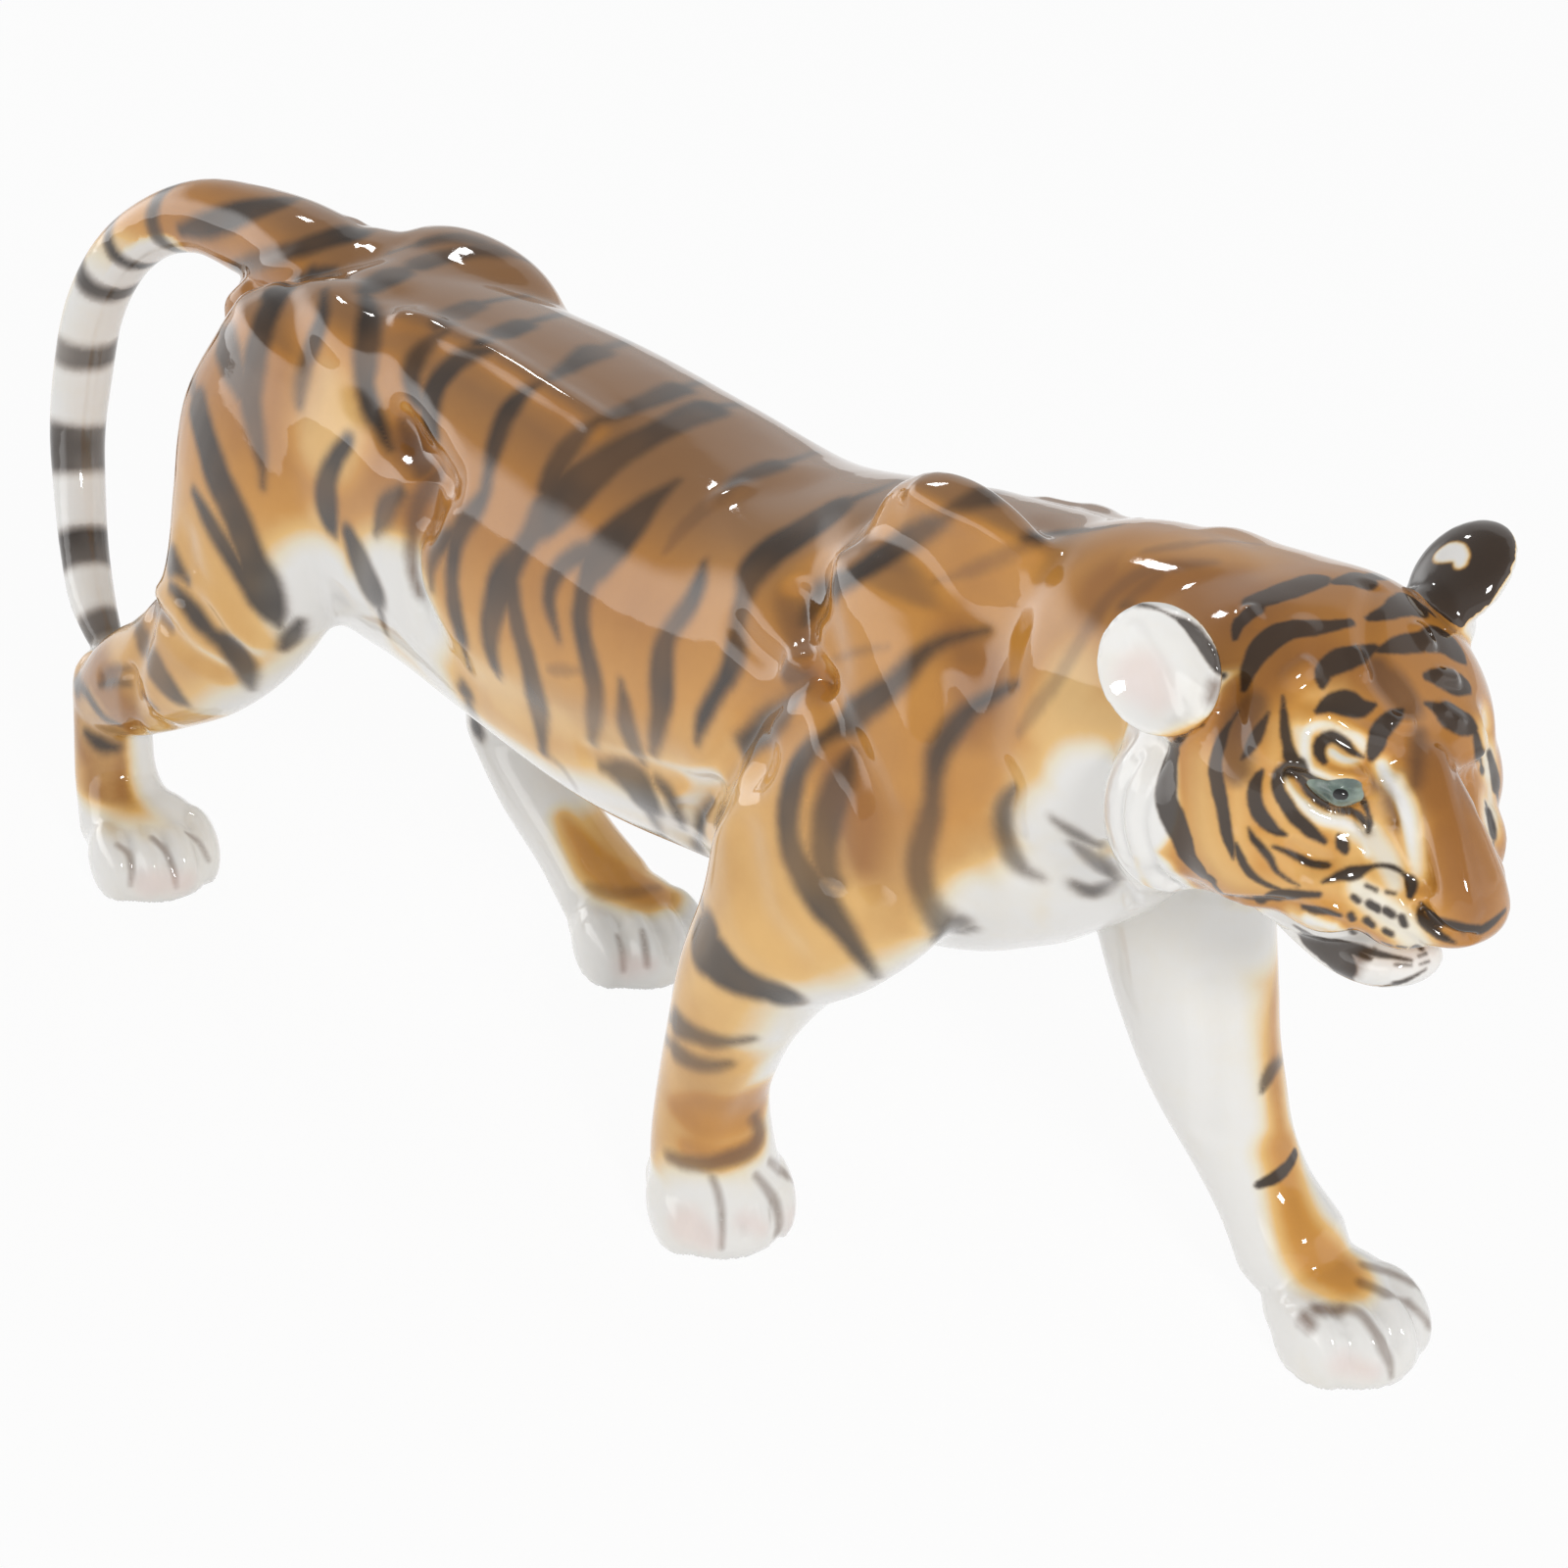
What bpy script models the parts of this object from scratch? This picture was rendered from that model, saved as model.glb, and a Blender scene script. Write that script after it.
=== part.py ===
"""A walking tiger cast in one piece of glazed porcelain, 44 cm from nose to tail.

X runs from the tail to the nose, Y to the tiger's left and Z up. Lengths are millimetres,
turned to metres as each form is made. Places are first measured from the tail root on the
floor, and the finished body is moved so that its origin is under the middle of its box.
"""

import math

import bmesh
import bpy
import numpy as np
from mathutils import Matrix, Vector

MM = 0.001
NAME = "tiger_figurine"

# The finished body, and the size that the places and sizes in the tables below add up to.
LENGTH = 437.0
WIDTH = 101.4
HEIGHT = 182.4
TABLE_SIZE = (437.0, 101.4, 182.4)

# The point under the middle of the body in the tables, measured from the tail root.
CENTRE_X = 118.05
CENTRE_Y = -0.5

# How finely the forms are fused, and how far each stage is softened.
CORE_VOXEL = 1.6
BODY_VOXEL = 1.2
HEAD_VOXEL = 1.2
CORE_SOFTENING = 14
HEAD_SOFTENING = 12
BODY_SOFTENING = 5
TRIANGLES = 12000

# Skin this near the floor is ground flat, as the soles are.
SOLE_TRIM = 0.4

# Head: the point midway between the eyes, and how the head is turned from straight ahead.
HEAD_POINT = (316.6, -5.0, 155.2)
HEAD_YAW = math.radians(-6)
HEAD_PITCH = math.radians(14)
HEAD_ROLL = math.radians(1)
EYE_SPREAD = 13.5
EYE_RADIUS = 5.4

# Ears: sizes of the leaf and its section from the back's middle over the rim to the bowl's,
# each as a share of the half-width and a depth. Then for each ear its middle, the way its bowl
# faces, the way it points and the middle of its root, all in the head's axes.
EAR_HALF_WIDTH = 10.8
EAR_HALF_HEIGHT = 11.8
EAR_PROFILE = (
    (0.1, -5.2),
    (0.45, -4.8),
    (0.75, -3.6),
    (0.93, -1.6),
    (1, 0.4),
    (0.94, 1.8),
    (0.8, 0.8),
    (0.5, -0.9),
    (0.1, -1.6),
)
RIGHT_EAR = ((-30, -33, 10), (0.45, -0.75, 0.35), (-0.35, -0.5, 0.8), (-28, -26, 2))
LEFT_EAR = ((-29, 32, 10), (0.32, 0.67, -0.67), (-0.11, 0.73, 0.68), (-26, 25, 4))

# Paws: the middle of each sole and the way its toes point.
PAW_LENGTH = 35.0
PAW_WIDTH = 31.0
PAW_HEIGHT = 19.0
RIGHT_FORE_PAW = (161.5, -28.5, -22)
LEFT_FORE_PAW = (274.5, 35.5, -8)
RIGHT_HIND_PAW = (-39.0, -35.5, -14)
LEFT_HIND_PAW = (65.5, 26.0, -12)

# Tubes: x, y, z of the middle, half the width across and half the depth along the body.
TORSO = (
    (-22, 2, 131, 17, 17),
    (-10, 1, 126, 26, 29),
    (5, 0, 121, 31, 38),
    (24, 0, 118, 34, 41.5),
    (50, 0, 116.5, 34, 43),
    (80, 0, 114.5, 35.5, 44.5),
    (115, 0, 111.5, 36, 45),
    (150, 0, 112, 36, 42),
    (185, 0, 116, 35, 44),
    (212, 0, 122, 32, 43),
    (235, 0, 129, 27, 35),
    (250, 0, 137, 20, 26),
)
NECK = (
    (200, 0, 130, 29, 35),
    (226, 0, 132.5, 30, 36),
    (242, 0, 137, 28.5, 34.5),
    (256, -1, 143.5, 27, 33),
    (270, -2, 148, 25.5, 30),
    (286, -3, 150, 22, 27),
)
TAIL = (
    (12, 3, 142, 13, 12),
    (-16, 3, 149, 12, 12),
    (-38, 2, 150, 9.5, 10.5),
    (-56, 0, 149, 8.2, 8.5),
    (-71, -3, 143, 7.2, 7.2),
    (-84, -6, 132, 7, 7),
    (-91, -9, 119, 7, 7),
    (-93.5, -12, 103, 7, 7),
    (-93, -15, 89, 6.6, 6.6),
    (-89, -18, 76, 6.2, 6.2),
    (-82, -22, 64, 5.8, 5.8),
    (-73, -26, 55, 5.4, 5.4),
    (-66, -28, 50, 4.4, 4.4),
)
RIGHT_FORE_LEG = (
    (207, -20, 150, 12, 20),
    (206, -25, 128, 14, 28),
    (200, -28, 107, 15, 30),
    (192, -31, 90, 15, 24),
    (184, -32, 77, 14, 17.5),
    (176, -33, 63, 12.8, 14.5),
    (170, -33, 49, 11.6, 12.2),
    (165, -32, 36, 11, 11.5),
    (163, -31, 22, 12, 13),
    (162, -29.5, 12, 13, 14),
)
LEFT_FORE_LEG = (
    (222, 20, 148, 12, 18),
    (226, 25, 126, 14, 27),
    (229, 28, 104, 15, 27),
    (232, 29, 84, 15, 21),
    (236, 30, 66, 15, 17),
    (239, 31, 54, 13.5, 15),
    (243, 32, 44, 12, 13),
    (248, 33, 34, 10, 11),
    (253, 34, 26, 9.5, 10.5),
    (260, 35, 17, 11, 12),
)
RIGHT_THIGH = (
    (12, -18, 138, 16, 25),
    (8, -23, 118, 17, 31),
    (5, -27, 100, 16, 28),
    (0, -31, 84, 14.5, 22),
    (-11, -33, 69, 13, 17),
    (-27, -34, 57, 11.5, 14),
    (-44, -34, 47, 10, 12.5),
    (-56, -33, 39, 9, 10),
)
RIGHT_HIND_FOOT = (
    (-58, -32, 42, 8.5, 9),
    (-56.5, -33, 30, 9, 9.5),
    (-55, -34, 19, 9.5, 10),
    (-50, -35, 10, 11, 12),
)
LEFT_THIGH = (
    (6, 18, 134, 16, 26),
    (16, 23, 114, 17, 32),
    (27, 26, 96, 15, 26),
    (33, 28, 82, 13, 19),
    (29, 29, 65, 11.5, 15),
    (21, 29, 50, 10.5, 13),
    (15, 29, 40, 9.5, 11),
)
LEFT_HIND_FOOT = (
    (14, 29, 40, 9, 10),
    (27, 28, 29, 9.5, 10),
    (42, 27, 20, 9.5, 10),
    (55, 26, 13, 11, 11),
)

# Masses on the body: x, y, z of the middle, then the half-lengths along X, Y and Z,
# then the tilt in degrees about Y (nose down is positive).
BODY_MASSES = (
    (34, -15, 148, 32, 12, 11.5, 3),
    (26, 16.5, 150.5, 28.5, 12, 12.3, 3),
    (27, 7, 149.5, 26, 12, 10.5, 3),
    (1, 8, 149.5, 20, 12, 9.5, 0),
    (215, -14, 155, 25, 8.5, 22, 0),
    (224, 16, 143, 17, 8, 22, -14),
    (6, -22, 112, 30, 16, 34, 8),
    (14, 21, 110, 30, 16, 32, 0),
    (208, -24, 122, 25, 13, 34, 8),
    (226, 24, 116, 24, 13, 34, 8),
    (176, -27, 102, 15, 11, 19, 0),
    (205, 26, 98, 15, 11, 19, 0),
    (226, 0, 103, 18, 22, 20, 20),
    (-8, 0, 120, 20, 22, 23, 0),
)

# Masses of the head, in the head's own axes: forward, to its left and up, each with its
# half-lengths and a tilt in degrees about the head's left. The second number is mirrored
# where it isn't 0.
HEAD_MASSES = (
    (-5, 12, 0.5, 9, 8, 4.5, 18),
    (-17, 20, -16, 18, 11.5, 14, 10),
    (-28, 25, -21, 13, 11, 16, 0),
    (-3, 15.5, -19, 13, 8, 8.5, 6),
    (-14, 0, -27, 22, 20, 13, 0),
    (9.5, 7, -18.5, 9.5, 7.5, 8, 12),
    (18.5, 0, -12.5, 5, 7, 5, 30),
)
HEAD_CORE = (
    (-54, 0, -13, 22, 21),
    (-41, 0, -12.5, 27, 25),
    (-29, 0, -12, 30, 28),
    (-17, 0, -13, 31, 26),
    (-8, 0, -14, 27, 21),
    (1, 0, -15.5, 17.5, 11.5),
    (9, 0, -17, 13, 8.5),
    (16, 0, -17, 10, 7),
    (19, 0, -16.5, 9, 6),
)
HEAD_BRIDGE = (
    (-10, 0, -1, 10, 6),
    (2, 0, -3.5, 8, 6.5),
    (12, 0, -9, 7.8, 6.8),
    (18.5, 0, -12.5, 7.5, 5.2),
)
LOWER_JAW = (
    (-16, 0, -31, 16, 8.5),
    (-6, 0, -35.5, 13, 7),
    (2, 0, -37, 10.5, 6),
    (7.5, 0, -36, 8.5, 5),
    (10.5, 0, -34.5, 7, 4),
)


# Hollows and ridges modelled on the body: how far the skin is pressed in (out where it is
# negative), how far to each side, and the points of the line.
BODY_LINES = (
    (2.2, 11, ((186, -27, 149), (197, -33, 145), (201, -37, 137), (195, -39, 128), (186, -40, 118))),
    (1.8, 9, ((186, -40, 118), (169, -37, 101), (151, -27, 82))),
    (1.6, 12, ((205, -36, 141), (212, -37, 134), (219, -38, 125), (222, -38, 116), (220, -39, 105))),
    (2.4, 8, ((59, -29, 142), (72, -30, 140), (80, -31, 136), (74, -34, 128))),
    (1.4, 9, ((74, -34, 128), (69, -35, 120), (70, -35, 111), (75, -35, 103))),
    (2.2, 14, ((232, -23, 156), (234, -27, 147), (234, -29, 132), (231, -31, 118), (230, -31, 106))),
    (1.4, 7, ((-19, -44, 73), (-25, -46, 60), (-25, -42, 47), (-20, -42, 44))),
    (1.4, 12, ((73, -34, 103), (89, -33, 95), (116, -34, 96), (143, -35, 100), (157, -35, 100))),
    (1.6, 12, ((33, -14, 159), (43, -23, 154), (48, -27, 145), (59, -29, 141))),
    (1.2, 8, ((-2, -43, 98), (5, -45, 87), (13, -42, 79))),
    (1.6, 14, ((158, -8, 156), (172, -17, 155), (185, -26, 148))),
    (-1.4, 8, ((45, -15, 158), (61, -13, 157), (85, -13, 156), (109, -15, 154))),
    (-1.0, 8, ((208, -18, 172), (223, -17, 172), (232, -13, 169))),
    (2.2, 11, ((203, 30, 148), (212, 36, 138), (208, 40, 120), (196, 38, 104))),
    (2.2, 14, ((242, 23, 152), (246, 27, 138), (246, 29, 122), (244, 30, 108))),
    (1.6, 12, ((70, 30, 140), (62, 34, 128), (58, 35, 114), (62, 35, 104))),
)
# The same in the head's axes, mirrored: eye sockets, the line under the cheek and the nose's sides.
HEAD_LINES = (
    (2.6, 8, ((0, 12, -3), (-4, 18, -2.5))),
    (1.6, 6, ((-20, 32, -30), (-12, 28, -32), (-4, 23, -31))),
    (1.2, 5, ((6, 10, -6), (14, 9.5, -10))),
)


def pressed(points, normals, lines):
    """The points moved along their normals, where they are near one of the lines."""
    moved = points.copy()
    for depth, reach, line in lines:
        line = np.array(line, float)
        nearest = np.full(len(points), np.inf)
        for start, end in zip(line, line[1:]):
            along = end - start
            share = np.clip((points - start) @ along / (along @ along), 0, 1)
            away = np.linalg.norm(points - start - share[:, None] * along, axis=1)
            nearest = np.minimum(nearest, away)
        fade = np.cos(np.clip(nearest / reach, 0, 1) * math.pi) * 0.5 + 0.5
        moved -= normals * (depth * fade)[:, None]
    return moved


def hermite_rows(rows, step):
    """Rows of numbers made into a smooth run of rows about one step apart."""
    rows = np.array(rows, float)
    gaps = np.linalg.norm(np.diff(rows[:, :3], axis=0), axis=1)
    slopes = np.diff(rows, axis=0) / gaps[:, None]
    inner = (slopes[:-1] * gaps[1:, None] + slopes[1:] * gaps[:-1, None]) / (gaps[1:] + gaps[:-1])[:, None]
    tangents = np.vstack([slopes[:1], inner, slopes[-1:]])
    out = []
    for i, gap in enumerate(gaps):
        count = max(2, int(math.ceil(gap / step)))
        for t in np.arange(count) / count:
            a = 2 * t**3 - 3 * t**2 + 1
            b = (t**3 - 2 * t**2 + t) * gap
            c = 3 * t**2 - 2 * t**3
            d = (t**3 - t**2) * gap
            out.append(a * rows[i] + b * tangents[i] + c * rows[i + 1] + d * tangents[i + 1])
    out.append(rows[-1])
    return np.array(out)


def add_tube(bm, rows, across=(0, 1, 0), matrix=Matrix(), power=2.0, step=2.5, sides=40):
    """A tube of rings with domed ends, along the middles of the rows. A power over 2 squares it."""
    rings = hermite_rows(rows, step)
    middles = rings[:, :3]
    ways = np.gradient(middles, axis=0)
    ways /= np.linalg.norm(ways, axis=1)[:, None]
    across = np.array(across, float)
    side = across - ways * (ways @ across)[:, None]
    side /= np.linalg.norm(side, axis=1)[:, None]
    depth = np.cross(ways, side)
    plan = [(middles[i], side[i], depth[i], rings[i, 3], rings[i, 4]) for i in range(len(rings))]
    dome = np.radians((25, 50, 72))
    for end, sign in ((0, -1), (-1, 1)):
        middle, s, d, half_s, half_d = plan[end]
        reach = min(half_s, half_d)
        for k, angle in enumerate(dome):
            centre = middle + ways[end] * sign * reach * math.sin(angle)
            shrink = math.cos(angle)
            ring = (centre, s, d, half_s * shrink, half_d * shrink)
            plan.insert(0, ring) if end == 0 else plan.append(ring)
    turns = np.linspace(0, 2 * math.pi, sides, endpoint=False)
    wide = np.sign(np.cos(turns)) * np.abs(np.cos(turns)) ** (2 / power)
    deep = np.sign(np.sin(turns)) * np.abs(np.sin(turns)) ** (2 / power)
    loops = []
    for centre, s, d, half_s, half_d in plan:
        points = centre + np.outer(wide * half_s, s) + np.outer(deep * half_d, d)
        loops.append([bm.verts.new(matrix @ Vector(p * MM)) for p in points])
    for low, high in zip(loops, loops[1:]):
        for i in range(sides):
            j = (i + 1) % sides
            bm.faces.new((low[i], low[j], high[j], high[i]))
    bm.faces.new(loops[0][::-1])
    bm.faces.new(loops[-1])


def add_mass(bm, row, matrix=Matrix()):
    """An ellipsoid: its middle, its half-lengths and its tilt about Y in degrees."""
    x, y, z, length, width, height, tilt = row
    place = Matrix.Translation(Vector((x, y, z)) * MM) @ Matrix.Rotation(math.radians(tilt), 4, "Y")
    size = Matrix.Diagonal((length * MM, width * MM, height * MM, 1))
    bmesh.ops.create_icosphere(bm, subdivisions=4, radius=1, matrix=matrix @ place @ size)


def add_paw(bm, spot):
    """A rounded pad with four toes fanned across its front."""
    x, y, heading = spot
    matrix = Matrix.Translation((x * MM, y * MM, 0)) @ Matrix.Rotation(math.radians(heading), 4, "Z")
    half_length = PAW_LENGTH / 2
    half_width = PAW_WIDTH / 2
    add_mass(bm, (-4, 0, 8, half_length * 0.78, half_width * 0.88, PAW_HEIGHT * 0.57, 8), matrix)
    add_mass(bm, (2, 0, 3.5, half_length * 0.82, half_width * 0.86, PAW_HEIGHT * 0.4, 0), matrix)
    for across, ahead in ((-0.66, 0.12), (-0.23, 0.34), (0.23, 0.34), (0.66, 0.12)):
        toe = (
            ahead * half_length,
            across * half_width,
            6.2,
            half_length * 0.6,
            half_width * 0.31,
            PAW_HEIGHT * 0.5,
            10,
        )
        add_mass(bm, toe, matrix)


def head_matrix():
    """The head's axes, forward, left and up, as a matrix in metres."""
    turn = (
        Matrix.Rotation(HEAD_YAW, 4, "Z")
        @ Matrix.Rotation(HEAD_PITCH, 4, "Y")
        @ Matrix.Rotation(HEAD_ROLL, 4, "X")
    )
    return Matrix.Translation(Vector(HEAD_POINT) * MM) @ turn


def add_head(bm):
    """The skull, cheeks, muzzle and lower jaw."""
    matrix = head_matrix()
    for row in HEAD_MASSES:
        add_mass(bm, row, matrix)
        if row[1]:
            add_mass(bm, (row[0], -row[1], *row[2:]), matrix)
    add_tube(bm, HEAD_CORE, matrix=matrix, power=2.4)
    add_tube(bm, HEAD_BRIDGE, matrix=matrix)


def add_ear(bm, middle, face, up, root):
    """A cupped ear leaf and the fleshy root that it grows from, in the head's own axes."""
    matrix = head_matrix()
    face = Vector(face).normalized()
    across = Vector(up).cross(face).normalized()
    turn = Matrix((across, face.cross(across), face)).transposed().to_4x4()
    place = matrix @ Matrix.Translation(Vector(middle) * MM) @ turn
    loops = []
    for share, depth in EAR_PROFILE:
        loop = []
        for turn_by in np.linspace(0, 2 * math.pi, 36, endpoint=False):
            spot = Vector(
                (
                    math.cos(turn_by) * EAR_HALF_WIDTH * share,
                    math.sin(turn_by) * EAR_HALF_HEIGHT * share,
                    depth,
                )
            )
            loop.append(bm.verts.new(place @ (spot * MM)))
        loops.append(loop)
    for low, high in zip(loops, loops[1:]):
        for i, corner in enumerate(low):
            j = (i + 1) % len(low)
            bm.faces.new((corner, low[j], high[j], high[i]))
    bm.faces.new(loops[0][::-1])
    bm.faces.new(loops[-1])
    add_mass(bm, (*root, 7, 7.5, 7, 0), matrix)


def evaluated_mesh(source, name):
    """The mesh that an object's modifiers make. The object itself is removed."""
    bpy.context.view_layer.update()
    evaluated = source.evaluated_get(bpy.context.evaluated_depsgraph_get())
    result = bpy.data.meshes.new_from_object(evaluated)
    result.name = name
    bpy.data.objects.remove(source)
    return result


def fused(name, bm, voxel, softening):
    """The forms in bm fused into one skin and softened, as an object."""
    mesh = bpy.data.meshes.new(name)
    bmesh.ops.recalc_face_normals(bm, faces=bm.faces)
    bm.to_mesh(mesh)
    bm.free()
    rough = bpy.data.objects.new(name, mesh)
    workshop.objects.link(rough)
    remesh = rough.modifiers.new("fuse", "REMESH")
    remesh.mode = "VOXEL"
    remesh.voxel_size = voxel * MM
    smooth = rough.modifiers.new("soften", "SMOOTH")
    smooth.factor = 0.5
    smooth.iterations = int(softening)
    return evaluated_mesh(rough, name)


for old in list(bpy.data.objects):
    bpy.data.objects.remove(old, do_unlink=True)

home = bpy.data.collections.new(NAME)
bpy.context.scene.collection.children.link(home)
workshop = bpy.data.collections.new("workshop")
bpy.context.scene.collection.children.link(workshop)

core = bmesh.new()
add_tube(core, TORSO, power=2.25)
add_tube(core, NECK)
for row in BODY_MASSES:
    add_mass(core, row)
for rows in (RIGHT_FORE_LEG, LEFT_FORE_LEG, RIGHT_THIGH, LEFT_THIGH):
    add_tube(core, rows[:5])
core_mesh = fused("core", core, CORE_VOXEL, CORE_SOFTENING)

head = bmesh.new()
add_head(head)
head_mesh = fused("head", head, HEAD_VOXEL, HEAD_SOFTENING)

whole = bmesh.new()
whole.from_mesh(core_mesh)
whole.from_mesh(head_mesh)
add_tube(whole, LOWER_JAW, matrix=head_matrix())
for side in (-1, 1):
    add_mass(whole, (-3, side * EYE_SPREAD, -2, EYE_RADIUS, EYE_RADIUS, EYE_RADIUS, 0), head_matrix())
for rows in (RIGHT_FORE_LEG, LEFT_FORE_LEG, RIGHT_THIGH, LEFT_THIGH, RIGHT_HIND_FOOT, LEFT_HIND_FOOT):
    add_tube(whole, rows)
add_tube(whole, TAIL)
for spot in (RIGHT_FORE_PAW, LEFT_FORE_PAW, RIGHT_HIND_PAW, LEFT_HIND_PAW):
    add_paw(whole, spot)
add_ear(whole, *RIGHT_EAR)
add_ear(whole, *LEFT_EAR)
skin = fused("whole", whole, BODY_VOXEL, BODY_SOFTENING)

count = len(skin.vertices)
points = np.empty(count * 3)
skin.vertices.foreach_get("co", points)
points = points.reshape(-1, 3) / MM
normals = np.array([vertex.normal[:] for vertex in skin.vertices])
turned = head_matrix().to_3x3()
face_lines = []
for depth, reach, line in HEAD_LINES:
    for side in (-1, 1):
        spots = [Vector(HEAD_POINT) + turned @ Vector((f, side * left, up)) for f, left, up in line]
        face_lines.append((depth, reach, spots))
points = pressed(points, normals, BODY_LINES)
points = pressed(points, normals, face_lines)
points -= (CENTRE_X, CENTRE_Y, 0)
points[:, 2] = np.maximum(points[:, 2], 0)
points *= np.array((LENGTH, WIDTH, HEIGHT)) / TABLE_SIZE
skin.vertices.foreach_set("co", (points * MM).ravel())
skin.update()

thick = bpy.data.objects.new("thick", skin)
workshop.objects.link(thick)
decimate = thick.modifiers.new("thin", "DECIMATE")
decimate.ratio = TRIANGLES / (2 * len(skin.polygons))
body = evaluated_mesh(thick, NAME)
for vertex in body.vertices:
    if vertex.co.z < SOLE_TRIM * MM:
        vertex.co.z = 0
tiger = bpy.data.objects.new(NAME, body)
home.objects.link(tiger)

glaze = bpy.data.materials.new("glazed_porcelain")
glaze.use_nodes = True
paint = glaze.node_tree.nodes["Principled BSDF"]
paint.inputs["Base Color"].default_value = (0.55, 0.25, 0.07, 1)
paint.inputs["Roughness"].default_value = 0.08
tiger.data.materials.append(glaze)
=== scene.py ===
"""A walking tiger in glazed porcelain: the fine skin, its underglaze painting and the studio.

Lengths in the tables are millimetres. X runs from the tail to the nose, Y to the tiger's left
and Z up. Places of the forms are measured from the tail root on the floor, and the skin is then
moved so that its origin is under the middle of its box. Brush strokes are given in picture
points: pixels of a 1600 by 1600 picture taken by the camera below.
"""

import math

import bmesh
import bpy
import numpy as np
from mathutils import Matrix, Vector
from mathutils.bvhtree import BVHTree


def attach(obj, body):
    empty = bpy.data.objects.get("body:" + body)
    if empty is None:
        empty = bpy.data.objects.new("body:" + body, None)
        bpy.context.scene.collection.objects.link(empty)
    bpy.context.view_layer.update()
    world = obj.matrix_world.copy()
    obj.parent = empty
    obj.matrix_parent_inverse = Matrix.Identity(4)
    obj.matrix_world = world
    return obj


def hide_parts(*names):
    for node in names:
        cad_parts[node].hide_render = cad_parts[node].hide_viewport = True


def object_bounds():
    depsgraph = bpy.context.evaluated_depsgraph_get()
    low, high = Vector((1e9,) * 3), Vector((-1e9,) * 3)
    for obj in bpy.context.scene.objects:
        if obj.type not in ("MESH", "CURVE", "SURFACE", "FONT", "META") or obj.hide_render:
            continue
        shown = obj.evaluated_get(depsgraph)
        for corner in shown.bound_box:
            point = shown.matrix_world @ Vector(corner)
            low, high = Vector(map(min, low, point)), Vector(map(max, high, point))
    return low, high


MM = 0.001
NODE = "tiger_figurine"
PIECES = ("tiger_hindquarters", "tiger_forequarters", "tiger_head")

# The camera: where it looks, from which side, how far away and how long its lens is.
PICTURE = 1600
VIEW_TARGET = (30.35, 0.5, 85.0)
VIEW_AZIMUTH = 50.0
VIEW_ELEVATION = 27.0
VIEW_DISTANCE = 863.0
VIEW_FOCAL = 4400.0
SENSOR = 36.0

# The point under the middle of the finished body, measured from the tail root.
CENTRE_X = 118.05
CENTRE_Y = -0.5

# How finely the forms are fused, and how far each stage is softened.
CORE_VOXEL = 1.6
HEAD_VOXEL = 0.9
BODY_VOXEL = 0.88
CORE_SOFTENING = 14
HEAD_SOFTENING = 18
BODY_SOFTENING = 6

# Painting: how far apart a stroke's points are and how far a stroke may leap on the skin before
# it is cut, how much wider than seen it may lie on a slope, and how far out its edge is kept.
STROKE_STEP = 6.0
STROKE_JUMP = 9.0
WIDEST = 2.5
FADE = 4.0
SOFT_FADE = 9.0
# How far from the skin a mirrored point may land, how far from a leg's middle its skin may be,
# and how far apart the rings are that the rows of a leg or the tail become.
MIRROR_REACH = 12.0
LEG_REACH = 34.0
RING_STEP = 4.0
# How many rings at a leg's top carry no strokes over to the other leg.
BARE_RINGS = 2
# Facing is how far two directions agree, from -1 to 1. A stroke marks only skin that faces its way
# by more than SAME_SIDE. Skin goes from seen to hidden as it faces the camera between the values
# of HIDDEN, and a crease is mirrored onto skin that faces it by less than HIDDEN_CREASE.
SAME_SIDE = -0.15
HIDDEN = (0.12, -0.02)
HIDDEN_CREASE = 0.05

# The face and ears, cut finer: how far back and how low they reach in the head's axes, and how
# far inside that the softening stays. Then how often the skin and the coat are softened.
FACE_BACK = -44.0
FACE_LOW = -50.0
FACE_MARGIN = 2
FACE_SOFTENING = 2
CREASE_SOFTENING = 2
COAT_SOFTENING = 3
# Where the hindquarters' piece meets the forequarters', along X.
PARTING = 95.0

# Colours under the glaze, as linear red, green and blue.
COAT_STOPS = (
    (0.0, (0.87, 0.86, 0.835)),
    (0.2, (0.87, 0.78, 0.60)),
    (0.45, (0.85, 0.53, 0.19)),
    (0.75, (0.66, 0.31, 0.06)),
    (1.0, (0.48, 0.2, 0.033)),
)
DEEP_ORANGE = (0.33, 0.13, 0.027)
# Dark brown on the upward-facing back: partly the coat's own darker back, partly painted shade on
# the top.
DARK_BACK_AND_SHADE = (0.25, 0.13, 0.06)
# Dark brown: for the faint stripes and the toe lines, and for painted shade in creases and folds.
UMBER_AND_SHADE = (0.15, 0.07, 0.03)
FRINGE = (0.2, 0.1, 0.04)
INK = (0.032, 0.022, 0.016)
PINK_GLAZE = (0.80, 0.52, 0.46)
IRIS_DARK = (0.10, 0.14, 0.125)
IRIS_PALE = (0.26, 0.33, 0.28)
PUPIL_BLACK = (0.012, 0.012, 0.012)

# Noise in the paint and the glaze: its scale, detail and roughness.
WIDE_NOISE = (32.0, 2.0, 0.55)
BRUSH_NOISE = (170.0, 4.0, 0.6)
SPECK_NOISE = (1500.0, 2.0, 0.5)
SWELL_NOISE = (75.0, 1.0, 0.4)
# How much the wide and the brush noise change the coat. Deep orange then lies where the wide
# noise is between two values and in the deep field, each with its strength. The washes show only
# where the coat is between two values.
COAT_DRIFT = 0.16
COAT_WANDER = 0.08
WASH = (0.45, 0.75)
WASH_STRENGTH = 0.35
DEEP_STRENGTH = 0.85
WASHED_COAT = (0.35, 0.6)
DARK_BACK_AND_SHADE_STRENGTH = 0.75
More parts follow.
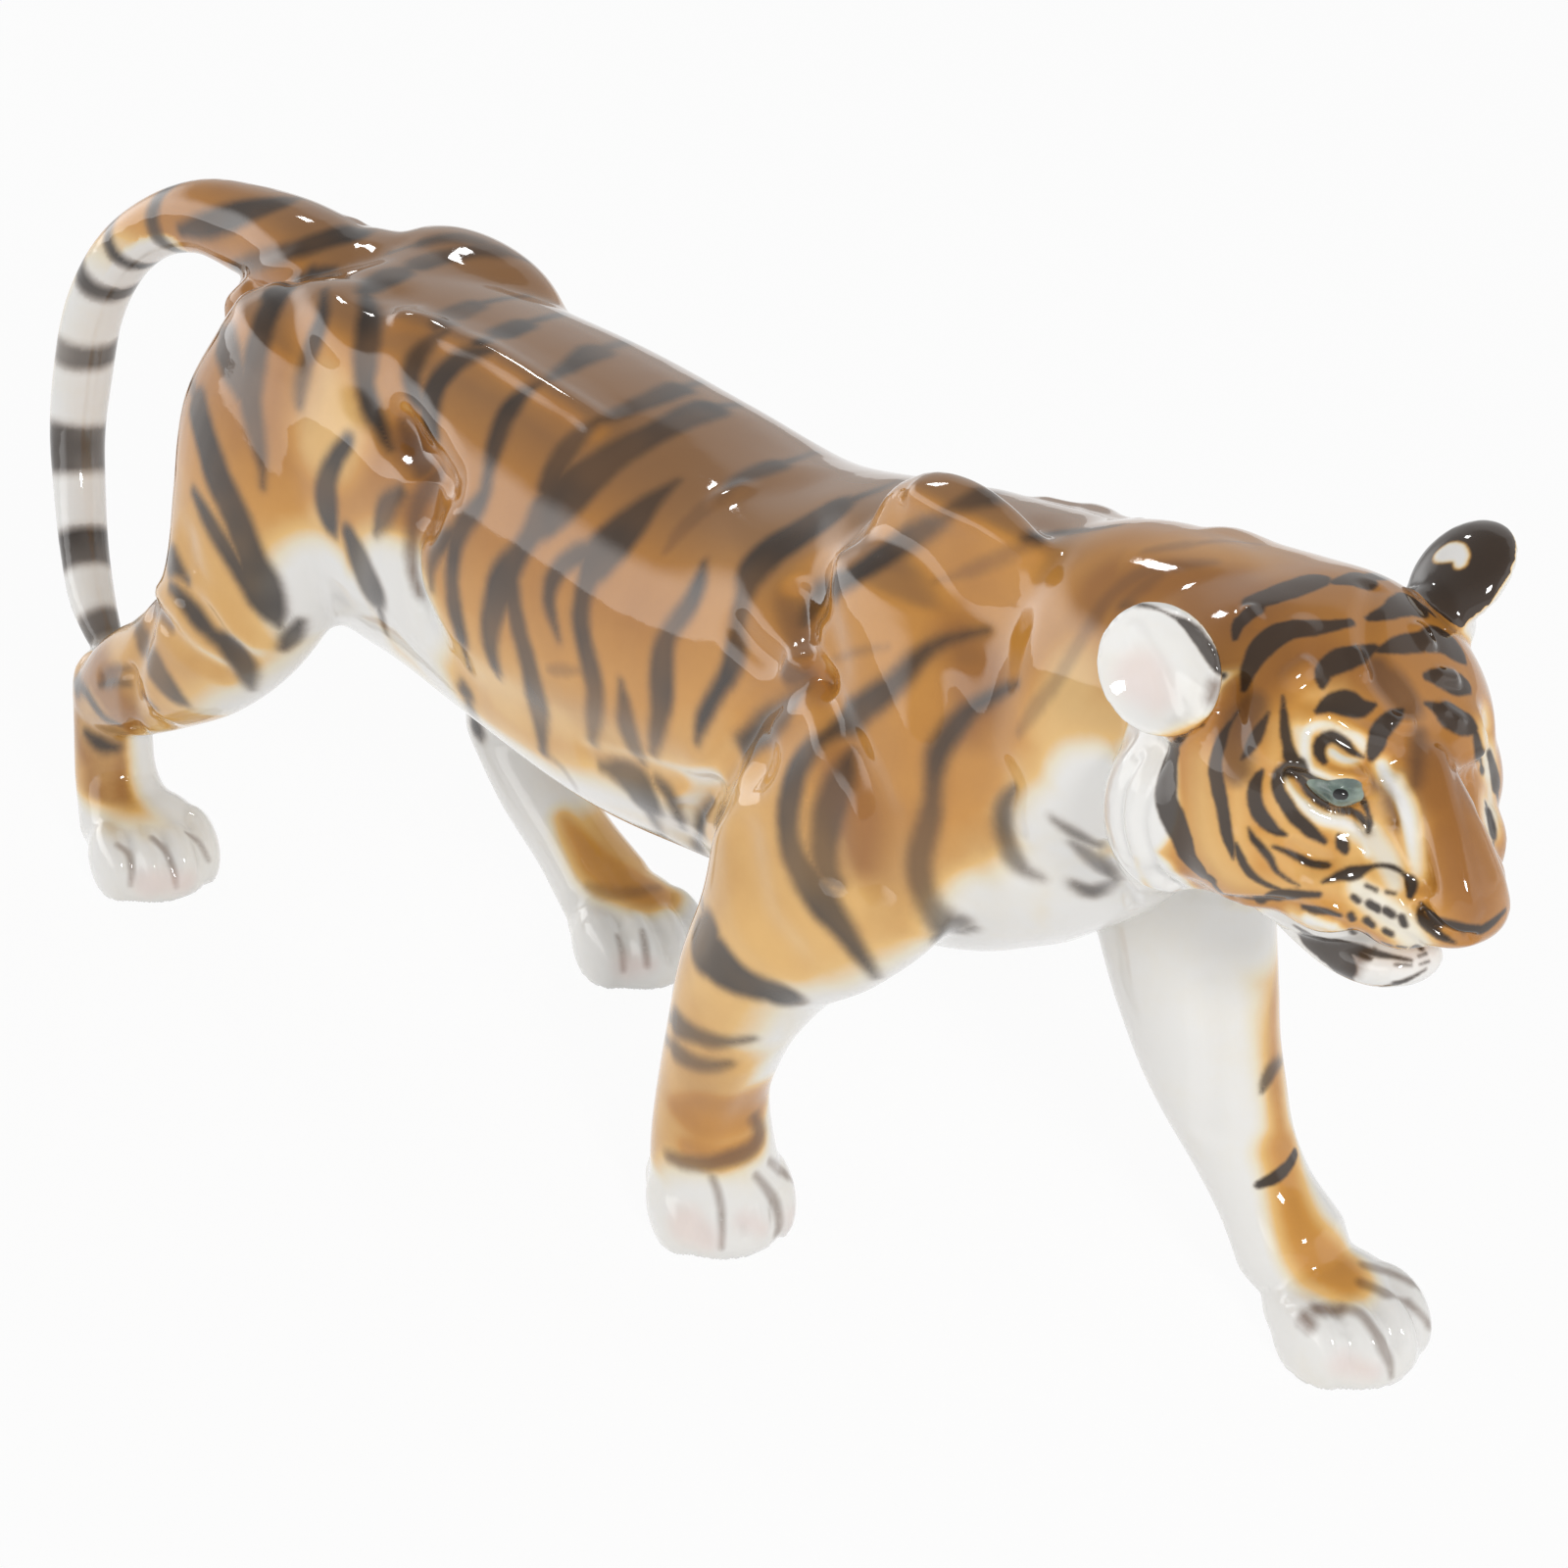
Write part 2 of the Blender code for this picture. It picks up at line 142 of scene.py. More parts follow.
# Dark brown lines under the glaze: the field, how far the brush noise moves its edge in mm, where
# the edge starts and ends in mm, and how strong the line is. The first field is painted shade in
# creases and folds; the faint stripes and the toe lines are brown paint.
UMBER_AND_SHADE_LINES = (
    ("painted_shade", 1.6, (-2.2, 1.0), 0.8),
    ("faint", 1.6, (-1.4, 1.2), 0.42),
    ("toes", 0.0, (-1.0, 0.8), 0.6),
)
PINK_STRENGTH = 0.3
# The stripes: how far the brush noise moves their edges, how soft the edges are at the least and
# where the painting isn't fine, the brown fringe and the black, and how worn the black is.
INK_WANDER = 1.1
FINE_EDGE = 0.35
FRINGE_EDGE = (-1.9, 0.8)
FRINGE_STRENGTH = 0.45
INK_EDGE = (-1.1, 1.3)
INK_STRENGTH = 0.97
INK_WORN = (0.35, 0.72)
MOST_WORN = 0.42
FINE_UNWORN = 0.34
# The eyes: where the iris turns from dark to pale, and the edges of the iris and the pupil.
IRIS_MIX = (0.35, 0.65)
IRIS_EDGE = (-0.12, 0.12)
PUPIL_EDGE = (-0.1, 0.1)
# The glaze: its roughness and what specks add to it, its index of refraction, its clear coat,
# and the slight swell of its surface in metres.
GLAZE_ROUGHNESS = 0.045
SPECKS = (0.45, 0.8)
SPECK_ROUGHNESS = 0.05
GLAZE_IOR = 1.5
CLEAR_COAT = 0.4
CLEAR_COAT_ROUGHNESS = 0.03
SPECK_HEIGHT = 0.03
SWELL_STRENGTH = 0.35
SWELL_DEPTH = 0.0005

# The studio: light from the sides and from above, and between which heights in the sky, as
# shares, the one turns into the other. Then the floor, the point that the lamps aim at, and the
# lamps with their places and sizes in metres and their power in watts.
SIDE_LIGHT = 0.6
TOP_LIGHT = 0.32
SKY_RISE = (0.15, 0.95)
FLOOR_HALF = 6.0
FLOOR_PALE = 0.9
FLOOR_GLOW = 0.93
FLOOR_ROUGHNESS = 0.9
FLOOR_SPECULAR = 0.1
LAMP_AIM = (0, 0, 0.08)
LAMPS = (
    ("front_lamp", (1.2, -0.5, 0.72), (0.22, 0.22), 5.8),
    ("rim_lamp", (-0.95, 0.24, 1.06), (0.13, 0.13), 1.1),
)
# Soft boxes in the sky: azimuth and elevation of the middle, the half-widths across and up, all
# in degrees, and the strength. Then how soft their edges are, the power that squares them, and
# over which stretch they come up in front of the direction that they lie in.
SOFT_BOXES = (
    (-137, -6, 52, 27, 2.3),
    (40, 8, 40, 24, 1.2),
    (100, 30, 50, 20, 0.7),
)
BOX_EDGE = 0.66
BOX_SQUARENESS = 4
BOX_FRONT = (0, 0.1)

# Skin this near the floor is ground flat, as the soles are.
SOLE_TRIM = 0.4

# Head: the point midway between the eyes, and how the head is turned from straight ahead. Then
# how far to each side, ahead and up of that point an eye's middle is, and its radius.
HEAD_POINT = (316.6, -5.0, 155.2)
HEAD_YAW = math.radians(-6)
HEAD_PITCH = math.radians(14)
HEAD_ROLL = math.radians(1)
EYE_SPREAD = 13.5
EYE_AHEAD = -3
EYE_UP = -2
EYE_RADIUS = 5.4

# Ears: sizes of the leaf, the half-lengths of its root, how many sides it has, and its section
# from the back's middle over the rim to the bowl's, each as a share of the half-width and a
# depth. Then for each ear its middle, the way its bowl faces, the way it points and the middle
# of its root, all in the head's axes.
EAR_HALF_WIDTH = 10.8
EAR_HALF_HEIGHT = 11.8
EAR_ROOT = (7, 7.5, 7)
EAR_SIDES = 36
EAR_PROFILE = (
    (0.1, -5.2),
    (0.45, -4.8),
    (0.75, -3.6),
    (0.93, -1.6),
    (1, 0.4),
    (0.94, 1.8),
    (0.8, 0.8),
    (0.5, -0.9),
    (0.1, -1.6),
)
RIGHT_EAR = ((-30, -33, 10), (0.45, -0.75, 0.35), (-0.35, -0.5, 0.8), (-28, -26, 2))
LEFT_EAR = ((-29, 32, 10), (0.32, 0.67, -0.67), (-0.11, 0.73, 0.68), (-26, 25, 4))

# Paws: the middle of each sole and the way its toes point.
PAW_LENGTH = 35.0
PAW_WIDTH = 31.0
PAW_HEIGHT = 19.0
# Its two pads: how far ahead and how high the middle is in mm, the half-lengths as shares of the
# paw's half-length, half-width and height, and the tilt in degrees.
PAW_PADS = (
    (-4, 8, (0.78, 0.88, 0.57), 8),
    (2, 3.5, (0.82, 0.86, 0.4), 0),
)
# Its toes: how far across and ahead each is, as shares of the half-width and the half-length, then
# how high, how large in the same shares as a pad, and how tilted they are.
TOE_PLACES = ((-0.66, 0.12), (-0.23, 0.34), (0.23, 0.34), (0.66, 0.12))
TOE_HEIGHT = 6.2
TOE_SHARES = (0.6, 0.31, 0.5)
TOE_TILT = 10
RIGHT_FORE_PAW = (161.5, -28.5, -22)
LEFT_FORE_PAW = (274.5, 35.5, -8)
RIGHT_HIND_PAW = (-39.0, -35.5, -14)
LEFT_HIND_PAW = (65.5, 26.0, -12)

# How square the torso and the skull are across, where 2 is round, how far round the rings of a
# tube's domed end lie in degrees, and how many rows of a leg are fused with the torso first.
TORSO_SQUARENESS = 2.25
SKULL_SQUARENESS = 2.4
DOME_ANGLES = (25, 50, 72)
LEG_TOP_ROWS = 5

# Tubes: x, y, z of the middle, half the width across and half the depth along the body.
TORSO = (
    (-22, 2, 131, 17, 17),
    (-10, 1, 126, 26, 29),
    (5, 0, 121, 31, 38),
    (24, 0, 118, 34, 41.5),
    (50, 0, 116.5, 34, 43),
    (80, 0, 114.5, 35.5, 44.5),
    (115, 0, 111.5, 36, 45),
    (150, 0, 112, 36, 42),
    (185, 0, 116, 35, 44),
    (212, 0, 122, 32, 43),
    (235, 0, 129, 27, 35),
    (250, 0, 137, 20, 26),
)
NECK = (
    (200, 0, 130, 29, 35),
    (226, 0, 132.5, 30, 36),
    (242, 0, 137, 28.5, 34.5),
    (256, -1, 143.5, 27, 33),
    (270, -2, 148, 25.5, 30),
    (286, -3, 150, 22, 27),
)
TAIL = (
    (12, 3, 142, 13, 12),
    (-16, 3, 149, 12, 12),
    (-38, 2, 150, 9.5, 10.5),
    (-56, 0, 149, 8.2, 8.5),
    (-71, -3, 143, 7.2, 7.2),
    (-84, -6, 132, 7, 7),
    (-91, -9, 119, 7, 7),
    (-93.5, -12, 103, 7, 7),
    (-93, -15, 89, 6.6, 6.6),
    (-89, -18, 76, 6.2, 6.2),
    (-82, -22, 64, 5.8, 5.8),
    (-73, -26, 55, 5.4, 5.4),
    (-66, -28, 50, 4.4, 4.4),
)
RIGHT_FORE_LEG = (
    (207, -20, 150, 12, 20),
    (206, -25, 128, 14, 28),
    (200, -28, 107, 15, 30),
    (192, -31, 90, 15, 24),
    (184, -32, 77, 14, 17.5),
    (176, -33, 63, 12.8, 14.5),
    (170, -33, 49, 11.6, 12.2),
    (165, -32, 36, 11, 11.5),
    (163, -31, 22, 12, 13),
    (162, -29.5, 12, 13, 14),
)
LEFT_FORE_LEG = (
    (222, 20, 148, 12, 18),
    (226, 25, 126, 14, 27),
    (229, 28, 104, 15, 27),
    (232, 29, 84, 15, 21),
    (236, 30, 66, 15, 17),
    (239, 31, 54, 13.5, 15),
    (243, 32, 44, 12, 13),
    (248, 33, 34, 10, 11),
    (253, 34, 26, 9.5, 10.5),
    (260, 35, 17, 11, 12),
)
RIGHT_THIGH = (
    (12, -18, 138, 16, 25),
    (8, -23, 118, 17, 31),
    (5, -27, 100, 16, 28),
    (0, -31, 84, 14.5, 22),
    (-11, -33, 69, 13, 17),
    (-27, -34, 57, 11.5, 14),
    (-44, -34, 47, 10, 12.5),
    (-56, -33, 39, 9, 10),
)
RIGHT_HIND_FOOT = (
    (-58, -32, 42, 8.5, 9),
    (-56.5, -33, 30, 9, 9.5),
    (-55, -34, 19, 9.5, 10),
    (-50, -35, 10, 11, 12),
)
LEFT_THIGH = (
    (6, 18, 134, 16, 26),
    (16, 23, 114, 17, 32),
    (27, 26, 96, 15, 26),
    (33, 28, 82, 13, 19),
    (29, 29, 65, 11.5, 15),
    (21, 29, 50, 10.5, 13),
    (15, 29, 40, 9.5, 11),
)
LEFT_HIND_FOOT = (
    (14, 29, 40, 9, 10),
    (27, 28, 29, 9.5, 10),
    (42, 27, 20, 9.5, 10),
    (55, 26, 13, 11, 11),
)

# Masses on the body: x, y, z of the middle, then the half-lengths along X, Y and Z,
# then the tilt in degrees about Y (nose down is positive).
BODY_MASSES = (
    (34, -15, 148, 32, 12, 11.5, 3),
    (26, 16.5, 150.5, 28.5, 12, 12.3, 3),
    (27, 7, 149.5, 26, 12, 10.5, 3),
    (1, 8, 149.5, 20, 12, 9.5, 0),
    (215, -14, 155, 25, 8.5, 22, 0),
    (224, 16, 143, 17, 8, 22, -14),
    (6, -22, 112, 30, 16, 34, 8),
    (14, 21, 110, 30, 16, 32, 0),
    (208, -24, 122, 25, 13, 34, 8),
    (226, 24, 116, 24, 13, 34, 8),
    (176, -27, 102, 15, 11, 19, 0),
    (205, 26, 98, 15, 11, 19, 0),
    (226, 0, 103, 18, 22, 20, 20),
    (-8, 0, 120, 20, 22, 23, 0),
)

# Masses of the head, in the head's own axes: forward, to its left and up, each with its
# half-lengths and a tilt in degrees about the head's left. The second number is mirrored
# where it isn't 0.
HEAD_MASSES = (
    (-5, 12, 0.5, 9, 8, 4.5, 18),
    (-17, 20, -16, 18, 11.5, 14, 10),
    (-28, 25, -21, 13, 11, 16, 0),
    (-3, 15.5, -19, 13, 8, 8.5, 6),
    (-14, 0, -27, 22, 20, 13, 0),
    (9.5, 7, -18.5, 9.5, 7.5, 8, 12),
    (18.5, 0, -12.5, 5, 7, 5, 30),
)
HEAD_CORE = (
    (-54, 0, -13, 22, 21),
    (-41, 0, -12.5, 27, 25),
    (-29, 0, -12, 30, 28),
    (-17, 0, -13, 31, 26),
    (-8, 0, -14, 27, 21),
    (1, 0, -15.5, 17.5, 11.5),
    (9, 0, -17, 13, 8.5),
    (16, 0, -17, 10, 7),
    (19, 0, -16.5, 9, 6),
)
HEAD_BRIDGE = (
    (-10, 0, -1, 10, 6),
    (2, 0, -3.5, 8, 6.5),
    (12, 0, -9, 7.8, 6.8),
    (18.5, 0, -12.5, 7.5, 5.2),
)
LOWER_JAW = (
    (-16, 0, -31, 16, 8.5),
    (-6, 0, -35.5, 13, 7),
    (2, 0, -37, 10.5, 6),
    (7.5, 0, -36, 8.5, 5),
    (10.5, 0, -34.5, 7, 4),
)


# Hollows and ridges modelled on the body: how far the skin is pressed in (out where it is
# negative), how far to each side, and the points of the line.
BODY_LINES = (
    (2.2, 11, ((186, -27, 149), (197, -33, 145), (201, -37, 137), (195, -39, 128),
      (186, -40, 118))),
    (1.8, 9, ((186, -40, 118), (169, -37, 101), (151, -27, 82))),
    (1.6, 12, ((205, -36, 141), (212, -37, 134), (219, -38, 125), (222, -38, 116),
      (220, -39, 105))),
    (2.4, 8, ((59, -29, 142), (72, -30, 140), (80, -31, 136), (74, -34, 128))),
    (1.4, 9, ((74, -34, 128), (69, -35, 120), (70, -35, 111), (75, -35, 103))),
    (2.2, 14, ((232, -23, 156), (234, -27, 147), (234, -29, 132), (231, -31, 118),
      (230, -31, 106))),
    (1.4, 7, ((-19, -44, 73), (-25, -46, 60), (-25, -42, 47), (-20, -42, 44))),
    (1.4, 12, ((73, -34, 103), (89, -33, 95), (116, -34, 96), (143, -35, 100), (157, -35, 100))),
    (1.6, 12, ((33, -14, 159), (43, -23, 154), (48, -27, 145), (59, -29, 141))),
    (1.2, 8, ((-2, -43, 98), (5, -45, 87), (13, -42, 79))),
    (1.6, 14, ((158, -8, 156), (172, -17, 155), (185, -26, 148))),
    (-1.4, 8, ((45, -15, 158), (61, -13, 157), (85, -13, 156), (109, -15, 154))),
    (-1.0, 8, ((208, -18, 172), (223, -17, 172), (232, -13, 169))),
    (2.2, 11, ((203, 30, 148), (212, 36, 138), (208, 40, 120), (196, 38, 104))),
    (2.2, 14, ((242, 23, 152), (246, 27, 138), (246, 29, 122), (244, 30, 108))),
    (1.6, 12, ((70, 30, 140), (62, 34, 128), (58, 35, 114), (62, 35, 104))),
)
# The same in the head's axes, mirrored: eye sockets, the line under the cheek and the nose's sides.
HEAD_LINES = (
    (2.6, 8, ((0, 12, -3), (-4, 18, -2.5))),
    (1.6, 6, ((-20, 32, -30), (-12, 28, -32), (-4, 23, -31))),
    (1.2, 5, ((6, 10, -6), (14, 9.5, -10))),
)

# Creases and ridges in the skin, in picture points: how deep in mm (out where it is negative),
# how far to each side in mm, and the line. They are carried over to the tiger's left side too.
BODY_CREASES = (
    (1.7, 5.5, ((407, 428), (417, 450), (428, 474), (436, 492), (428, 515), (421, 545),
      (421, 580), (430, 612))),
    (0.9, 4, ((412, 428), (432, 452), (458, 490))),
    (1.8, 4.5, ((812, 608), (817, 632), (824, 660), (832, 694))),
    (2.4, 5.5, ((832, 694), (806, 702), (782, 718), (762, 745), (744, 778), (728, 808),
      (704, 832))),
    (1.5, 6, ((838, 700), (852, 735), (868, 765), (886, 800), (900, 835), (902, 870), (898, 900))),
    (-1.1, 4.5, ((412, 323), (440, 330), (465, 345), (495, 356), (530, 378), (565, 400),
      (590, 415), (612, 432))),
    (-1.0, 4.5, ((935, 503), (965, 520), (1000, 533), (1030, 548), (1060, 558))),
    (-1.1, 5, ((300, 266), (262, 285), (235, 308), (214, 335), (196, 362), (184, 390), (180, 425),
      (178, 470))),
    (-0.8, 4, ((142, 596), (160, 606), (182, 624))),
    (-0.8, 4, ((200, 592), (222, 618), (242, 645), (258, 657))),
    (1.2, 4, ((133, 688), (134, 712), (136, 735), (143, 752))),
    (1.0, 3.5, ((104, 692), (118, 686), (132, 686))),
    (1.2, 5, ((150, 606), (170, 640), (196, 668), (226, 684))),
    (0.9, 5, ((600, 772), (645, 783), (690, 796), (722, 802))),
    (1.0, 5, ((752, 640), (770, 660), (790, 676))),
    (-0.7, 4, ((735, 508), (756, 498))),
    (1.3, 7, ((862, 770), (850, 810), (845, 850), (848, 890))),
    (-0.9, 6, ((985, 690), (990, 730), (990, 780), (984, 830), (968, 900))),
    (1.0, 7, ((1030, 800), (1028, 840), (1034, 880))),
    (1.3, 8, ((760, 860), (766, 900), (776, 940), (800, 970))),
    (-0.8, 5, ((715, 1168), (735, 1130), (750, 1095))),
    (1.0, 5, ((1232, 1010), (1238, 1060), (1236, 1110), (1232, 1150))),
)
FACE_CREASES = (
    (0.9, 2.2, ((1128, 862), (1135, 885), (1150, 905), (1160, 925))),
    (0.9, 2.4, ((1186, 765), (1172, 800), (1163, 840), (1170, 870), (1180, 890), (1197, 905))),
    (0.7, 2.2, ((1160, 775), (1146, 800), (1142, 840), (1150, 875))),
    (0.8, 2.4, ((1197, 906), (1230, 914), (1262, 919), (1300, 921), (1332, 928), (1366, 944))),
    (0.9, 2.0, ((1316, 788), (1328, 790), (1342, 797), (1358, 800), (1376, 802), (1390, 806))),
    (0.9, 1.8, ((1318, 792), (1332, 808), (1346, 820), (1362, 828), (1380, 829), (1396, 846))),
    (-0.7, 2.0, ((1314, 779), (1332, 781), (1350, 790), (1370, 794), (1390, 796))),
    (-0.5, 2.0, ((1314, 800), (1330, 820), (1350, 834), (1376, 840))),
    (0.9, 3.0, ((1352, 742), (1376, 764), (1396, 776), (1420, 782))),
    (-0.8, 3.4, ((1340, 732), (1364, 738), (1392, 750), (1416, 758))),
    (0.8, 3.0, ((1440, 774), (1442, 800), (1446, 840), (1452, 880), (1456, 905))),
    (-0.6, 3.0, ((1470, 770), (1478, 820), (1492, 880), (1502, 930))),
    (1.5, 1.8, ((1450, 926), (1460, 938), (1472, 950), (1486, 957), (1502, 959))),
    (0.8, 2.6, ((1444, 900), (1440, 912), (1446, 924))),
    (0.6, 2.0, ((1396, 775), (1408, 800), (1422, 835))),
    (-0.7, 3.5, ((1345, 898), (1380, 892), (1412, 898), (1436, 914))),
    (0.5, 2.0, ((1352, 918), (1384, 926), (1420, 948), (1450, 966))),
    (0.6, 1.8, ((1320, 862), (1336, 872), (1354, 878))),
    (0.9, 3.5, ((1400, 600), (1395, 640), (1402, 680), (1428, 720))),
    (-0.7, 4.0, ((1330, 640), (1322, 670), (1340, 700))),
    (0.9, 3.2, ((1262, 700), (1262, 740), (1268, 770), (1290, 790))),
    (0.5, 2.4, ((1158, 640), (1182, 680), (1196, 728))),
    (-1.1, 3.0, ((1318, 692), (1332, 682))),
    (-1.0, 2.8, ((1386, 668), (1392, 684))),
    (-1.0, 2.8, ((1449, 644), (1456, 656))),
    (-0.9, 2.6, ((1470, 690), (1482, 692))),
    (-1.0, 2.8, ((1474, 726), (1486, 734))),
    (-0.8, 2.4, ((1424, 736), (1436, 738))),
    (-0.7, 2.2, ((1274, 622), (1282, 634))),
)

